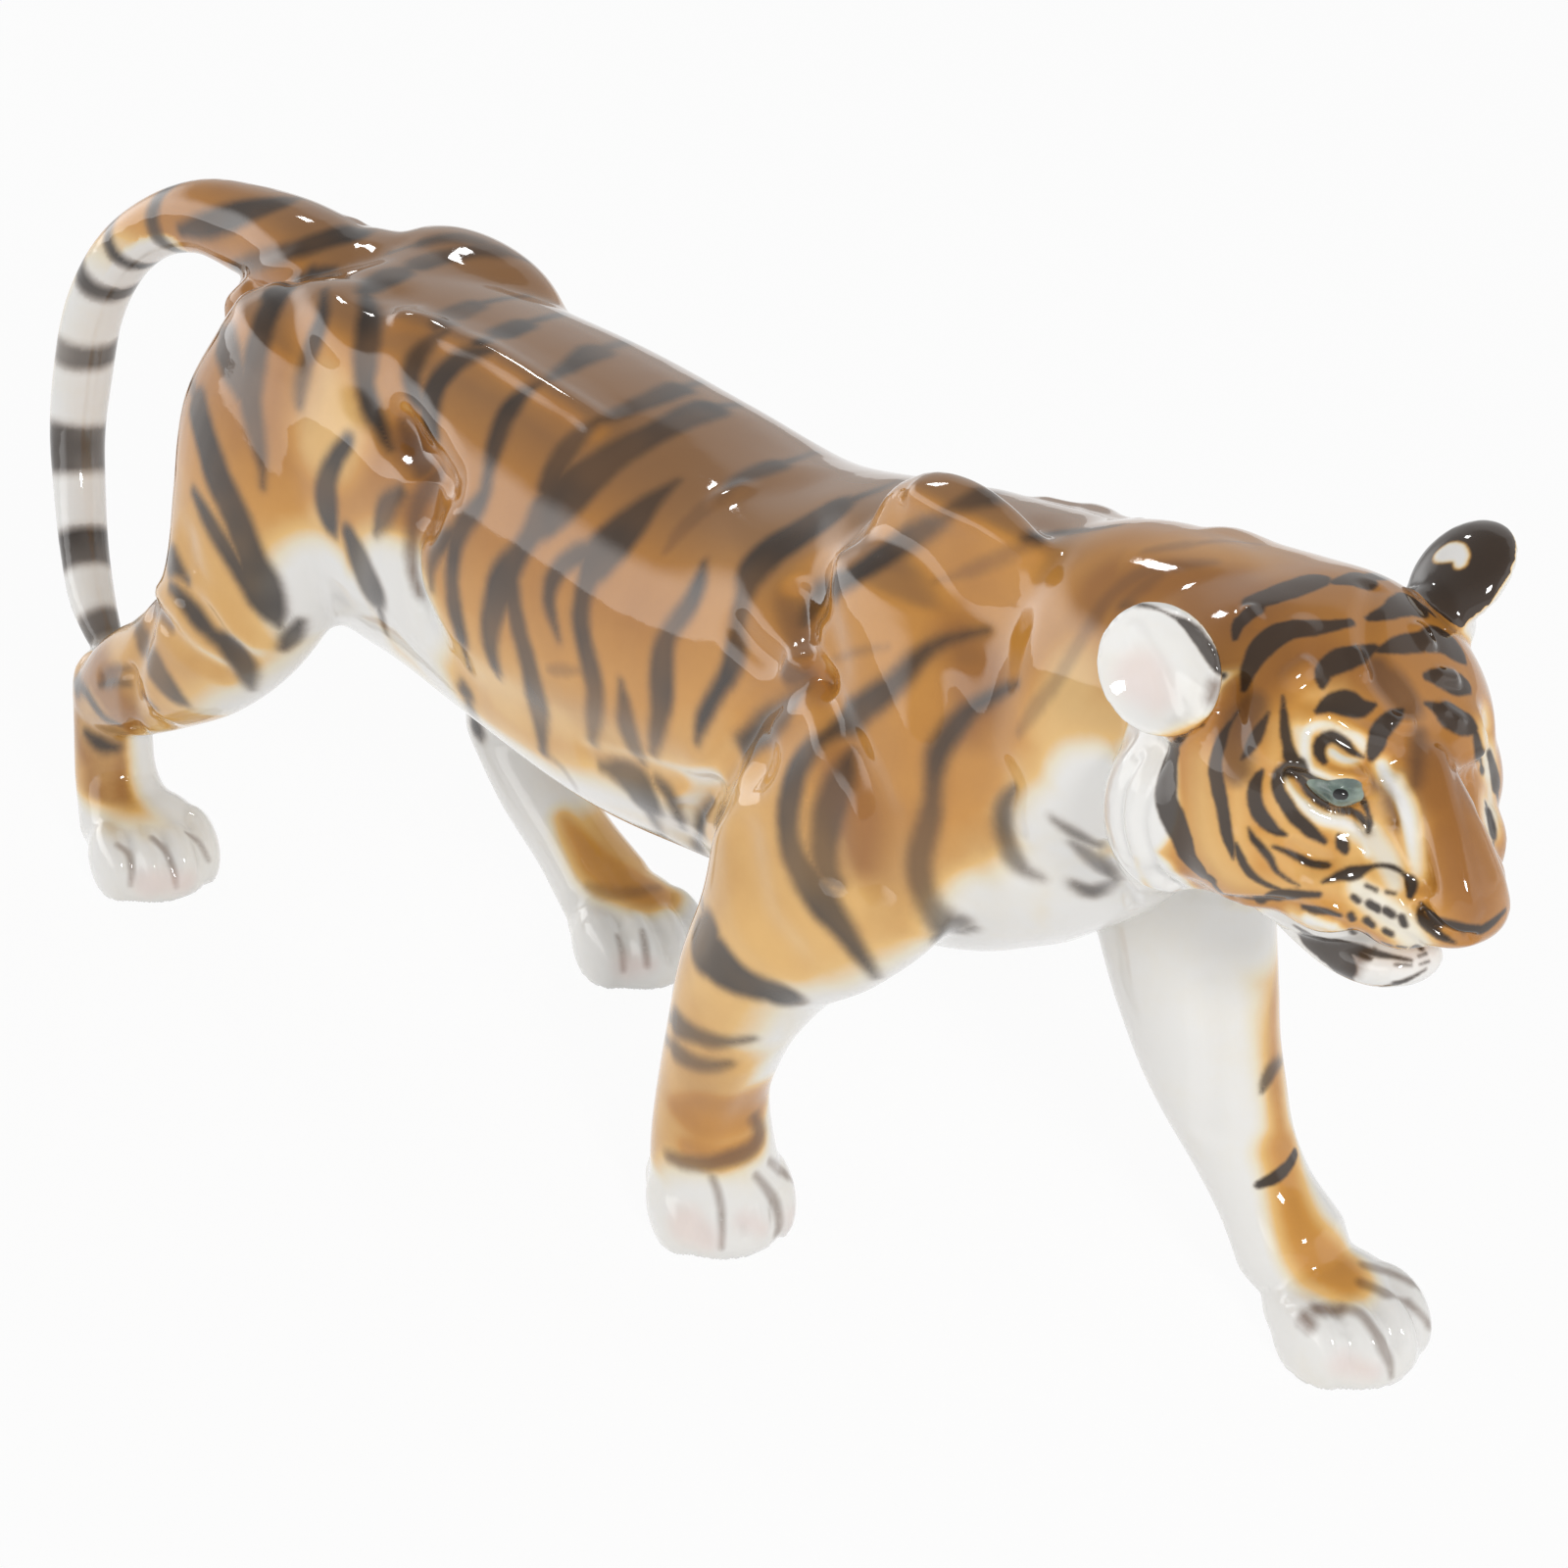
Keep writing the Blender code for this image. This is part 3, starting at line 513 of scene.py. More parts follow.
# Black-brown stripes and a few marks of painted shade: points of the line, each with the width
# there, all in picture points.
BODY_INK = (
    ((186, 236, 14), (205, 231, 28), (226, 224, 27), (250, 216, 22), (276, 209, 15), (304, 202, 8)),
    ((378, 236, 8), (352, 239, 18), (326, 246, 19), (296, 256, 16), (264, 266, 16),
      (240, 275, 14), (220, 284, 8)),
    ((196, 316, 6), (190, 334, 22), (187, 352, 22), (181, 372, 8)),
    ((179, 391, 4), (171, 404, 14), (165, 420, 5)),
    ((338, 276, 5), (308, 283, 11), (288, 294, 18), (276, 313, 20), (267, 336, 22), (262, 355, 24),
     (258, 378, 25), (255, 405, 23), (259, 430, 20), (264, 455, 15), (268, 478, 8), (268, 496, 3)),
    ((223, 326, 6), (229, 350, 19), (237, 374, 22), (247, 398, 18)),
    ((331, 296, 5), (328, 325, 13), (321, 347, 16), (313, 370, 14), (308, 392, 14), (306, 412, 8)),
    ((372, 296, 8), (377, 320, 24), (376, 346, 26), (373, 370, 25), (373, 392, 20), (379, 415, 20),
     (389, 438, 15), (398, 458, 6)),
    ((190, 358, 5), (195, 388, 13), (201, 415, 17), (207, 440, 20), (214, 464, 23),
      (221, 486, 25), (230, 505, 26),
     (240, 526, 27), (249, 550, 28), (258, 575, 30), (266, 598, 40), (275, 618, 30), (285, 638, 8)),
    ((198, 503, 6), (211, 528, 13), (226, 553, 15), (240, 576, 16), (252, 597, 16)),
    ((145, 516, 6), (152, 543, 12), (164, 562, 15), (178, 576, 13), (192, 592, 5)),
    ((174, 598, 5), (189, 614, 15), (203, 632, 18), (218, 648, 15), (234, 658, 20),
      (245, 674, 24), (253, 692, 17),
     (257, 704, 5)),
    ((137, 628, 5), (145, 650, 12), (153, 671, 16), (163, 690, 18), (175, 706, 15), (188, 717, 5)),
    ((147, 710, 7), (158, 722, 6)),
    ((372, 298, 10), (386, 288, 17), (406, 278, 18), (431, 268, 16), (462, 260, 14),
      (497, 254, 14), (528, 262, 8),
     (552, 272, 4)),
    # A dark band along the back's upper outline: painted shade, not a stripe.
    ((398, 258, 5), (430, 248, 8), (465, 242, 10), (496, 249, 8), (522, 258, 4)),
    ((446, 334, 8), (460, 323, 16), (481, 313, 14), (507, 306, 11), (538, 302, 6)),
    ((487, 350, 8), (510, 341, 15), (540, 329, 15), (571, 321, 12), (604, 316, 5)),
    ((563, 386, 5), (580, 375, 13), (602, 361, 17), (628, 352, 16), (655, 346, 6)),
    ((611, 430, 4), (635, 420, 13), (666, 407, 16), (696, 395, 14), (724, 388, 6)),
    ((454, 338, 6), (438, 350, 15), (424, 367, 20), (419, 386, 18), (423, 402, 15), (431, 416, 8)),
    ((500, 358, 5), (480, 362, 17), (461, 374, 21), (446, 392, 21), (438, 411, 21),
      (438, 428, 16), (445, 444, 7)),
    ((548, 393, 5), (531, 405, 15), (516, 425, 19), (508, 446, 19), (502, 466, 15),
      (498, 484, 11), (494, 504, 13),
     (484, 522, 18), (472, 537, 20), (465, 552, 17), (462, 572, 14), (461, 592, 13),
      (463, 616, 14), (468, 640, 12),
     (474, 664, 8), (479, 682, 4)),
    ((470, 536, 12), (456, 548, 14), (446, 560, 13), (440, 577, 8), (440, 600, 4)),
    ((612, 427, 5), (596, 440, 15), (581, 456, 21), (569, 475, 23), (560, 496, 22)),
    ((756, 412, 6), (727, 416, 19), (696, 428, 22), (666, 443, 24), (636, 460, 28),
      (606, 482, 36), (581, 503, 44),
     (560, 522, 40), (547, 538, 26), (535, 556, 20), (524, 573, 24), (514, 592, 30),
      (506, 615, 24), (500, 640, 18),
     (501, 665, 12), (508, 690, 5)),
    ((520, 594, 20), (524, 618, 16), (530, 645, 16), (537, 670, 16), (543, 695, 16),
      (548, 720, 14), (552, 746, 10),
     (554, 766, 5)),
    ((690, 492, 5), (664, 513, 20), (646, 532, 31), (629, 550, 38), (613, 566, 38),
      (602, 585, 24), (595, 606, 18),
     (592, 630, 18), (596, 656, 16), (602, 680, 18), (607, 705, 16), (606, 730, 13), (604, 756, 6)),
    ((614, 560, 18), (590, 566, 22), (573, 578, 18), (563, 593, 16), (560, 612, 13),
      (564, 632, 8), (570, 652, 3)),
    ((634, 698, 5), (637, 720, 12), (641, 745, 15), (647, 763, 12), (655, 777, 4)),
    ((718, 576, 5), (713, 595, 14), (704, 616, 18), (692, 632, 18), (682, 648, 18),
      (676, 670, 22), (675, 696, 25),
     (674, 721, 20), (670, 745, 14), (666, 768, 5)),
    ((834, 461, 6), (801, 472, 12), (771, 482, 14), (752, 491, 9), (742, 498, 3)),
    ((918, 490, 5), (895, 500, 12), (868, 511, 19), (840, 528, 23), (812, 546, 27),
      (788, 562, 31), (770, 580, 30),
     (762, 600, 20), (757, 620, 17), (753, 642, 16), (750, 666, 22), (743, 686, 19),
      (734, 702, 16), (725, 718, 16),
     (716, 736, 13), (711, 756, 5)),
    ((970, 526, 8), (946, 539, 23), (921, 555, 24), (895, 571, 21), (868, 588, 18),
      (845, 602, 18), (832, 616, 17),
     (823, 634, 7)),
    ((1034, 499, 6), (1006, 506, 20), (981, 514, 14), (962, 521, 5)),
    ((1140, 536, 4), (1104, 541, 14), (1073, 545, 14), (1048, 549, 6)),
    ((1008, 643, 4), (985, 648, 8), (960, 655, 12), (938, 670, 19), (920, 690, 23),
      (900, 708, 27), (880, 722, 28),
     (862, 738, 24), (846, 749, 15), (829, 762, 17), (815, 781, 20), (807, 805, 22),
      (804, 830, 22), (805, 855, 22),
     (812, 878, 25), (824, 900, 31), (838, 920, 33), (852, 938, 27), (866, 958, 20),
      (880, 978, 14), (894, 998, 4)),
    ((868, 768, 8), (861, 788, 24), (853, 810, 32), (847, 830, 33), (843, 850, 29),
      (841, 870, 27), (845, 890, 22),
     (856, 902, 10)),
    ((1038, 698, 4), (1013, 710, 15), (990, 725, 19), (972, 745, 24), (958, 768, 25),
      (953, 790, 20), (952, 812, 18),
     (949, 832, 22), (944, 852, 26), (938, 873, 27), (938, 892, 25), (943, 911, 23),
      (953, 931, 25), (966, 944, 27),
     (981, 951, 10), (993, 946, 4)),
    ((1036, 803, 4), (1027, 820, 14), (1024, 840, 18), (1028, 860, 18), (1036, 877, 16),
      (1048, 889, 9), (1062, 895, 3)),
    ((1076, 837, 4), (1090, 847, 8), (1105, 855, 8), (1120, 862, 4)),
    ((1098, 863, 7), (1112, 874, 12), (1126, 887, 12), (1140, 898, 4)),
    ((1098, 903, 8), (1115, 909, 12), (1128, 904, 7), (1139, 896, 3)),
    ((822, 702, 4), (800, 726, 15), (780, 744, 18), (764, 764, 17), (758, 784, 9)),
    ((728, 816, 4), (718, 832, 8), (714, 852, 8), (714, 880, 6), (715, 910, 6), (718, 934, 10),
      (722, 951, 20),
     (718, 964, 28), (730, 979, 34), (744, 992, 31), (762, 1003, 25), (781, 1010, 21),
      (799, 1016, 20), (812, 1018, 7)),
    ((714, 956, 5), (718, 972, 11), (726, 985, 13), (736, 995, 14)),
    ((677, 1029, 7), (690, 1044, 14), (708, 1055, 14), (728, 1062, 13), (746, 1063, 8),
      (768, 1060, 4)),
    ((679, 1059, 7), (690, 1073, 12), (705, 1083, 13), (725, 1087, 11), (744, 1085, 5)),
    ((614, 782, 7), (634, 789, 20), (650, 804, 25), (660, 822, 21), (668, 840, 14), (677, 856, 5)),
    ((671, 797, 7), (682, 810, 10), (690, 828, 8), (697, 846, 4)),
    ((473, 698, 5), (478, 716, 14), (483, 734, 15), (489, 751, 5)),
    ((356, 546, 12), (364, 565, 18), (372, 585, 20), (381, 605, 20), (388, 625, 13), (394, 646, 5)),
    ((354, 452, 15), (342, 470, 18), (334, 490, 19), (333, 510, 22), (336, 530, 16), (341, 544, 5)),
    # In the flank's crease: a dark stripe and painted crease shade at once.
    ((408, 503, 15), (396, 515, 20), (389, 530, 15), (383, 543, 5)),
    ((306, 635, 10), (299, 648, 20), (290, 661, 10)),
    ((72, 694, 8), (86, 704, 14), (95, 718, 17), (106, 732, 14), (121, 739, 6)),
    ((88, 748, 6), (104, 760, 16), (118, 763, 10)),
    ((101, 700, 3), (115, 696, 7), (131, 697, 5)),
    ((1322, 1176, 5), (1314, 1190, 11), (1300, 1202, 12), (1284, 1209, 9)),
    ((1316, 1078, 4), (1301, 1088, 9), (1293, 1100, 11), (1288, 1113, 4)),
)
# The thin brush lines between the toes.
TOE_LINES = (
    ((727, 1202, 7), (732, 1215, 7), (736, 1235, 7), (737, 1255, 6), (736, 1274, 4)),
    ((771, 1199, 7), (783, 1214, 8), (792, 1231, 9), (795, 1248, 7), (790, 1267, 4)),
    ((785, 1185, 6), (802, 1198, 6), (815, 1214, 5), (821, 1227, 3)),
    ((1370, 1334, 9), (1388, 1340, 9), (1401, 1355, 9), (1412, 1373, 9), (1418, 1391, 7),
      (1420, 1406, 3)),
    ((1389, 1309, 9), (1410, 1317, 8), (1436, 1330, 7), (1455, 1347, 6), (1465, 1369, 3)),
    ((1392, 1291, 7), (1420, 1299, 6), (1445, 1312, 5), (1459, 1330, 3)),
    ((120, 862, 4), (130, 870, 6), (134, 885, 6), (133, 903, 3)),
    ((157, 856, 5), (168, 868, 6), (176, 885, 6), (180, 905, 3)),
    ((190, 850, 3), (203, 860, 4), (213, 878, 3)),
    ((655, 950, 4), (658, 965, 6), (660, 985, 6)),
    ((630, 955, 3), (634, 970, 5), (636, 990, 4)),
)
# Faint brown stripes under the glaze.
BODY_FAINT = (
    ((742, 504, 7), (723, 515, 15), (706, 530, 14), (692, 545, 12), (680, 562, 5)),
    ((1056, 554, 7), (1026, 566, 16), (1000, 578, 15), (976, 587, 8), (954, 593, 3)),
    ((1240, 574, 5), (1205, 577, 10), (1170, 583, 13), (1145, 597, 12), (1122, 622, 13),
      (1106, 648, 13),
     (1092, 672, 13), (1076, 698, 14), (1056, 722, 14), (1040, 748, 7)),
    ((1192, 581, 5), (1168, 597, 12), (1149, 613, 6)),
    ((1290, 556, 4), (1250, 552, 9), (1210, 556, 9), (1170, 562, 5)),
    ((552, 767, 5), (570, 780, 14), (582, 795, 12), (589, 808, 4)),
    ((745, 660, 8), (750, 675, 22), (746, 690, 16), (738, 702, 6)),
    ((600, 905, 8), (625, 912, 14), (650, 910, 10), (672, 905, 5)),
    ((850, 673, 4), (880, 664, 7), (905, 660, 4)),
    ((560, 683, 6), (576, 684, 12), (590, 684, 5)),
)
# Dark brown along creases and folds and at the ankles: painted shade.
BODY_PAINTED_SHADE = (
    ((770, 1140, 6), (775, 1158, 10), (764, 1174, 12), (744, 1182, 12), (720, 1187, 12),
      (700, 1186, 10), (682, 1180, 6)),
    ((140, 590, 4), (150, 608, 10), (163, 622, 14), (175, 638, 9)),
    ((105, 690, 5), (118, 684, 6), (130, 682, 3)),
    ((86, 654, 7), (82, 668, 5)),
    ((446, 486, 10), (428, 512, 14), (421, 545, 10), (421, 580, 6), (428, 606, 4)),
    ((412, 432, 8), (422, 455, 16), (434, 478, 18)),
    ((1345, 1335, 8), (1365, 1338, 6)),
    ((805, 688, 18), (822, 690, 12)),
    ((1330, 1345, 10), (1336, 1352, 8)),
)
# White skin: the same with wide, soft strokes.
BODY_WHITE = (
    ((338, 602, 46), (346, 618, 74), (362, 632, 84)),
    ((396, 590, 34), (412, 630, 74), (438, 684, 78), (480, 736, 68), (520, 768, 60)),
    ((560, 800, 70), (620, 815, 60), (690, 838, 60)),
    ((1050, 850, 70), (1100, 820, 90), (1130, 800, 60)),
    ((1140, 830, 70), (1105, 850, 70), (1070, 880, 80), (1030, 925, 80), (985, 960, 70),
      (930, 996, 50)),
    ((1160, 900, 90), (1140, 960, 110), (1080, 960, 90), (1020, 985, 60)),
    ((1200, 960, 110), (1260, 965, 90), (1290, 950, 60)),
    ((790, 1070, 26), (800, 1040, 24), (812, 1015, 16)),
    ((1160, 1000, 90), (1190, 1080, 120), (1215, 1150, 110), (1240, 1220, 90), (1270, 1290, 70),
      (1290, 1350, 60)),
    ((1250, 1030, 80), (1255, 1100, 60), (1262, 1160, 60), (1265, 1220, 60), (1280, 1270, 40)),
    ((700, 1225, 70), (740, 1235, 90), (790, 1230, 70)),
    ((1330, 1370, 70), (1380, 1380, 80), (1430, 1350, 80), (1440, 1320, 50)),
    ((110, 885, 70), (150, 880, 70), (190, 870, 60), (170, 845, 30), (185, 830, 24),
      (168, 790, 20)),
    ((512, 790, 50), (535, 840, 60), (560, 890, 60), (590, 940, 80), (630, 960, 90),
      (665, 950, 60)),
    ((575, 900, 30), (600, 930, 40)),
)
# Where the white is thinner, so that the skin is cream and gold.
BODY_CREAM = (
    ((1150, 740, 60), (1110, 770, 80), (1070, 800, 80), (1030, 860, 50), (990, 890, 40),
      (940, 970, 40)),
    ((330, 540, 40), (290, 600, 40), (250, 690, 40), (190, 740, 30)),
    ((480, 690, 30), (540, 725, 34), (600, 745, 34), (660, 775, 34), (720, 795, 30)),
    ((730, 1010, 70), (750, 1050, 70)),
    ((150, 740, 26), (180, 744, 18)),
    ((900, 930, 60), (890, 990, 30)),
    ((330, 405, 50), (335, 440, 70)),
    ((100, 720, 40), (105, 770, 50), (112, 820, 40)),
    ((860, 860, 30), (880, 930, 50)),
    ((1100, 690, 60), (1080, 750, 70)),
)
# Orange carried down the legs over the white.
BODY_ORANGE = (
    ((1303, 990, 20), (1300, 1040, 30), (1302, 1100, 30), (1308, 1160, 32), (1314, 1205, 36),
      (1326, 1250, 48),
     (1348, 1285, 60), (1372, 1302, 46)),
    ((575, 835, 16), (590, 855, 34), (610, 880, 46), (640, 900, 44), (672, 912, 26)),
    ((690, 1130, 30), (730, 1140, 60), (765, 1130, 40)),
    ((700, 1170, 30), (735, 1178, 34), (770, 1165, 26)),
)

FACE_INK = (
    ((1260, 652, 4), (1264, 637, 12), (1275, 626, 14), (1286, 619, 7)),
    ((1274, 614, 8), (1288, 611, 16), (1306, 605, 17), (1325, 598, 17), (1341, 592, 14),
      (1352, 590, 5)),
    ((1362, 594, 5), (1385, 591, 13), (1405, 588, 17), (1425, 589, 13), (1440, 594, 5)),
    ((1270, 702, 8), (1275, 684, 18), (1283, 667, 22), (1297, 652, 24), (1318, 642, 20),
      (1340, 640, 15), (1360, 638, 12),
     (1379, 635, 7)),
    ((1397, 631, 6), (1410, 627, 14), (1425, 620, 18), (1441, 617, 17), (1455, 621, 10),
      (1464, 629, 4)),
    ((1349, 699, 6), (1351, 684, 20), (1365, 675, 25), (1384, 668, 21), (1402, 661, 9)),
    ((1407, 664, 7), (1425, 659, 17), (1448, 654, 22), (1468, 652, 20), (1482, 660, 16),
      (1493, 673, 5)),
    ((1344, 726, 5), (1357, 719, 17), (1374, 718, 27), (1388, 722, 20), (1403, 719, 5)),
    ((1455, 690, 7), (1468, 690, 17), (1482, 694, 21), (1496, 700, 12)),
    ((1431, 724, 5), (1419, 734, 20), (1408, 747, 20), (1404, 761, 19), (1399, 773, 8)),
    ((1455, 718, 6), (1470, 724, 15), (1485, 730, 25), (1497, 738, 20), (1504, 746, 7)),
    ((1392, 773, 3), (1380, 767, 8), (1370, 757, 12), (1357, 752, 12), (1348, 757, 12),
      (1346, 768, 12), (1351, 777, 7)),
    ((1309, 710, 3), (1310, 728, 9), (1311, 745, 11), (1314, 762, 12), (1318, 775, 17),
      (1327, 784, 10)),
    ((1316, 782, 10), (1304, 792, 13), (1304, 804, 13), (1312, 820, 14), (1322, 834, 14),
      (1336, 847, 15), (1351, 859, 6)),
    ((1315, 785, 7), (1328, 787, 7), (1341, 794, 4), (1355, 798, 3), (1372, 800, 2.6),
      (1386, 801, 3)),
    ((1318, 787, 7), (1328, 795, 9), (1336, 805, 8), (1345, 816, 8), (1354, 824, 6),
      (1365, 828, 5), (1378, 828, 5)),
    ((1385, 804, 4), (1390, 815, 5), (1395, 827, 5), (1398, 840, 6), (1396, 849, 4)),
    ((1378, 827, 5), (1387, 832, 8), (1393, 840, 6)),
    ((1366, 853, 4), (1370, 862, 13), (1373, 869, 5)),
    ((1350, 900, 3), (1367, 894, 10), (1381, 891, 16), (1394, 886, 9), (1408, 883, 5),
      (1422, 885, 6), (1434, 893, 5),
     (1440, 902, 13), (1439, 914, 7)),
    ((1236, 898, 7), (1245, 910, 8), (1262, 914, 6), (1285, 917, 6), (1305, 914, 9),
      (1325, 913, 10), (1345, 913, 7)),
    ((1330, 925, 5), (1342, 928, 8), (1353, 930, 6), (1366, 934, 4)),
    ((1227, 740, 2), (1212, 748, 5), (1201, 758, 8), (1194, 775, 14), (1191, 795, 20),
      (1190, 815, 23), (1198, 835, 25),
     (1207, 855, 20), (1212, 872, 16), (1222, 886, 12), (1234, 898, 9)),
    ((1263, 726, 4), (1251, 745, 9), (1243, 765, 12), (1240, 785, 14), (1243, 805, 14),
      (1248, 826, 14), (1251, 846, 13),
     (1256, 866, 9), (1258, 876, 4)),
    ((1294, 728, 4), (1287, 742, 12), (1281, 753, 14), (1274, 765, 9), (1267, 775, 3)),
    ((1288, 786, 4), (1281, 800, 13), (1280, 815, 16), (1285, 830, 17), (1294, 841, 14),
      (1304, 849, 8), (1313, 852, 3)),
    ((1274, 845, 3), (1279, 856, 8), (1288, 866, 9), (1296, 876, 8), (1302, 888, 6),
      (1313, 897, 5), (1326, 904, 3)),
    ((1299, 864, 3), (1313, 869, 6), (1325, 875, 8), (1338, 881, 8), (1353, 883, 6)),
    ((1261, 861, 4), (1266, 876, 9), (1274, 890, 9), (1288, 900, 6), (1306, 908, 4)),
    ((1395, 904, 5), (1404, 908, 6)),
    ((1415, 910, 5), (1423, 912, 4)),
    ((1381, 915, 6), (1386, 919, 6)),
    ((1398, 923, 9), (1405, 927, 9)),
    ((1414, 929, 9), (1420, 933, 9)),
    ((1430, 936, 7), (1433, 944, 7)),
    ((1378, 934, 7), (1380, 938, 6)),
    ((1395, 940, 8), (1400, 944, 7)),
    ((1413, 950, 6), (1419, 953, 6)),
    ((1378, 948, 5), (1381, 952, 5)),
    ((1395, 953, 6), (1399, 957, 6)),
    ((1411, 962, 5), (1419, 965, 5)),
    ((1427, 966, 4), (1434, 967, 4)),
    ((1443, 966, 8), (1450, 968, 7)),
    ((1448, 976, 4), (1455, 973, 4)),
    ((1341, 806, 2.5), (1349, 816, 3.5), (1362, 823, 4), (1378, 825, 3)),
    ((1322, 945, 6), (1338, 956, 14), (1350, 968, 20), (1362, 985, 22), (1372, 1000, 14)),
    # Painted shadow: the mouth's dark gap under the upper lip.
    ((1345, 956, 6), (1375, 964, 9), (1405, 973, 8), (1440, 980, 5)),
    ((1503, 738, 5), (1508, 760, 9), (1512, 785, 6)),
    ((1520, 770, 5), (1526, 795, 9), (1529, 820, 6)),
    ((1516, 820, 5), (1522, 845, 8), (1524, 862, 5)),
    ((1402, 968, 3), (1408, 971, 3)),
    ((1415, 975, 3), (1423, 977, 3)),
    ((1424, 984, 4), (1440, 985, 4)),
    ((1449, 984, 3), (1458, 981, 3)),
    ((1450, 921, 3), (1456, 929, 6), (1465, 936, 9), (1475, 943, 8), (1487, 948, 7),
      (1500, 951, 8), (1514, 948, 8),
     (1526, 939, 6), (1536, 929, 3)),
    ((1449, 926, 4), (1452, 938, 11), (1461, 948, 11), (1473, 957, 8), (1485, 962, 3)),
    ((1198, 629, 3), (1212, 639, 10), (1226, 655, 15), (1238, 672, 17), (1248, 689, 6)),
    ((1144, 619, 2), (1165, 617, 3), (1185, 623, 3), (1200, 631, 3)),
    ((1350, 962, 10), (1360, 968, 16), (1368, 978, 24), (1371, 990, 22), (1376, 1000, 14),
      (1383, 1006, 6)),
    # Painted shadow: the mouth's dark gap under the upper lip.
    ((1340, 956, 10), (1352, 960, 10), (1375, 968, 10), (1398, 978, 5)),
    ((1378, 1005, 6), (1395, 1008, 4), (1415, 1006, 4), (1440, 998, 4), (1455, 989, 3)),
)
EAR_WHITE = (
    ((1470, 566, 12), (1480, 563, 20), (1490, 565, 20), (1490, 574, 14)),
)
# Painted shade in dark brown along the face's creases.
FACE_PAINTED_SHADE = (
    ((1405, 682, 18), (1422, 700, 26), (1440, 722, 20)),
    ((1448, 750, 12), (1446, 775, 10), (1444, 800, 5)),
    ((1402, 801, 4), (1412, 807, 5), (1419, 822, 6), (1425, 840, 4)),
    ((1276, 722, 26), (1262, 745, 30), (1262, 785, 26)),
    ((1240, 700, 8), (1236, 712, 6)),
    ((1380, 990, 8), (1390, 976, 5)),
)
FACE_WHITE = (
    ((1154, 780, 60), (1140, 830, 60), (1144, 880, 60), (1168, 920, 54), (1212, 930, 24),
      (1260, 934, 24), (1320, 940, 22)),
    ((1176, 876, 26), (1200, 905, 24)),
    ((1335, 940, 12), (1365, 948, 10), (1400, 960, 26), (1430, 972, 26), (1470, 972, 22),
      (1500, 966, 14)),
    ((1311, 792, 6), (1318, 806, 10), (1332, 823, 16), (1350, 836, 19), (1372, 840, 20),
      (1388, 850, 12), (1396, 872, 12)),
    ((1338, 792, 12), (1331, 766, 16), (1334, 746, 16), (1350, 739, 12), (1372, 746, 10),
      (1388, 757, 16), (1392, 768, 8)),
    ((1340, 788, 8), (1356, 794, 8), (1378, 797, 5)),
    ((1360, 768, 12), (1372, 775, 10), (1388, 776, 4)),
    ((1410, 782, 18), (1418, 798, 20), (1430, 816, 22), (1437, 840, 20), (1441, 870, 14),
      (1444, 888, 8)),
    ((1394, 990, 26), (1404, 992, 24)),
    ((1420, 945, 8), (1432, 953, 8)),
)
FACE_PALE = (
    ((1385, 905, 26), (1405, 925, 34), (1430, 945, 34), (1450, 965, 22)),
    ((1398, 850, 26), (1416, 880, 28), (1424, 902, 20)),
    ((1425, 795, 16), (1437, 825, 20), (1443, 860, 18), (1446, 890, 12)),
    ((1370, 842, 16), (1395, 856, 22), (1405, 870, 18)),
    ((1352, 745, 12), (1372, 752, 12)),
    ((1324, 745, 12), (1330, 775, 10)),
    ((1320, 935, 12), (1390, 968, 12), (1450, 980, 12)),
    ((1514, 730, 12), (1520, 790, 14), (1520, 850, 12)),
)
FACE_CREAM = (
    ((1226, 780, 26), (1228, 820, 30), (1234, 860, 36), (1250, 890, 30), (1280, 903, 20),
      (1330, 905, 14)),
    ((1262, 800, 16), (1264, 840, 18), (1268, 880, 18)),
    ((1276, 770, 14), (1270, 800, 16)),
    ((1300, 800, 12), (1306, 830, 14), (1330, 862, 14), (1350, 872, 12)),
    ((1300, 740, 12), (1300, 775, 14)),
    ((1370, 700, 14), (1340, 708, 12)),
    ((1290, 862, 10), (1320, 888, 12), (1350, 895, 10)),
    ((1325, 740, 16), (1328, 770, 14)),
    ((1380, 905, 36), (1410, 925, 44), (1440, 945, 30)),
    ((1375, 880, 20), (1400, 860, 30), (1430, 880, 24)),
    ((1405, 815, 18), (1412, 835, 20)),
    ((1330, 895, 16), (1360, 905, 20)),
)
IRIS = (
    ((1338, 800, 8), (1346, 806, 15), (1356, 811, 22), (1368, 812, 25), (1380, 812, 21),
      (1387, 815, 9)),
)
PUPIL = (((1366, 811, 12), (1370, 811, 12)),)
PINK = (
    ((700, 1250, 40), (720, 1262, 30)),
    ((760, 1245, 24), (780, 1255, 20)),
    ((808, 1240, 20), (806, 1255, 16)),
    ((1370, 1392, 30), (1400, 1400, 20)),
    ((1450, 1385, 24), (1440, 1398, 16)),
    ((150, 902, 30), (190, 900, 24)),
    ((640, 985, 30), (665, 985, 16)),
    # In the right ear's bowl: pink tint and painted shade at once.
    ((1165, 690, 60), (1180, 710, 40)),
)

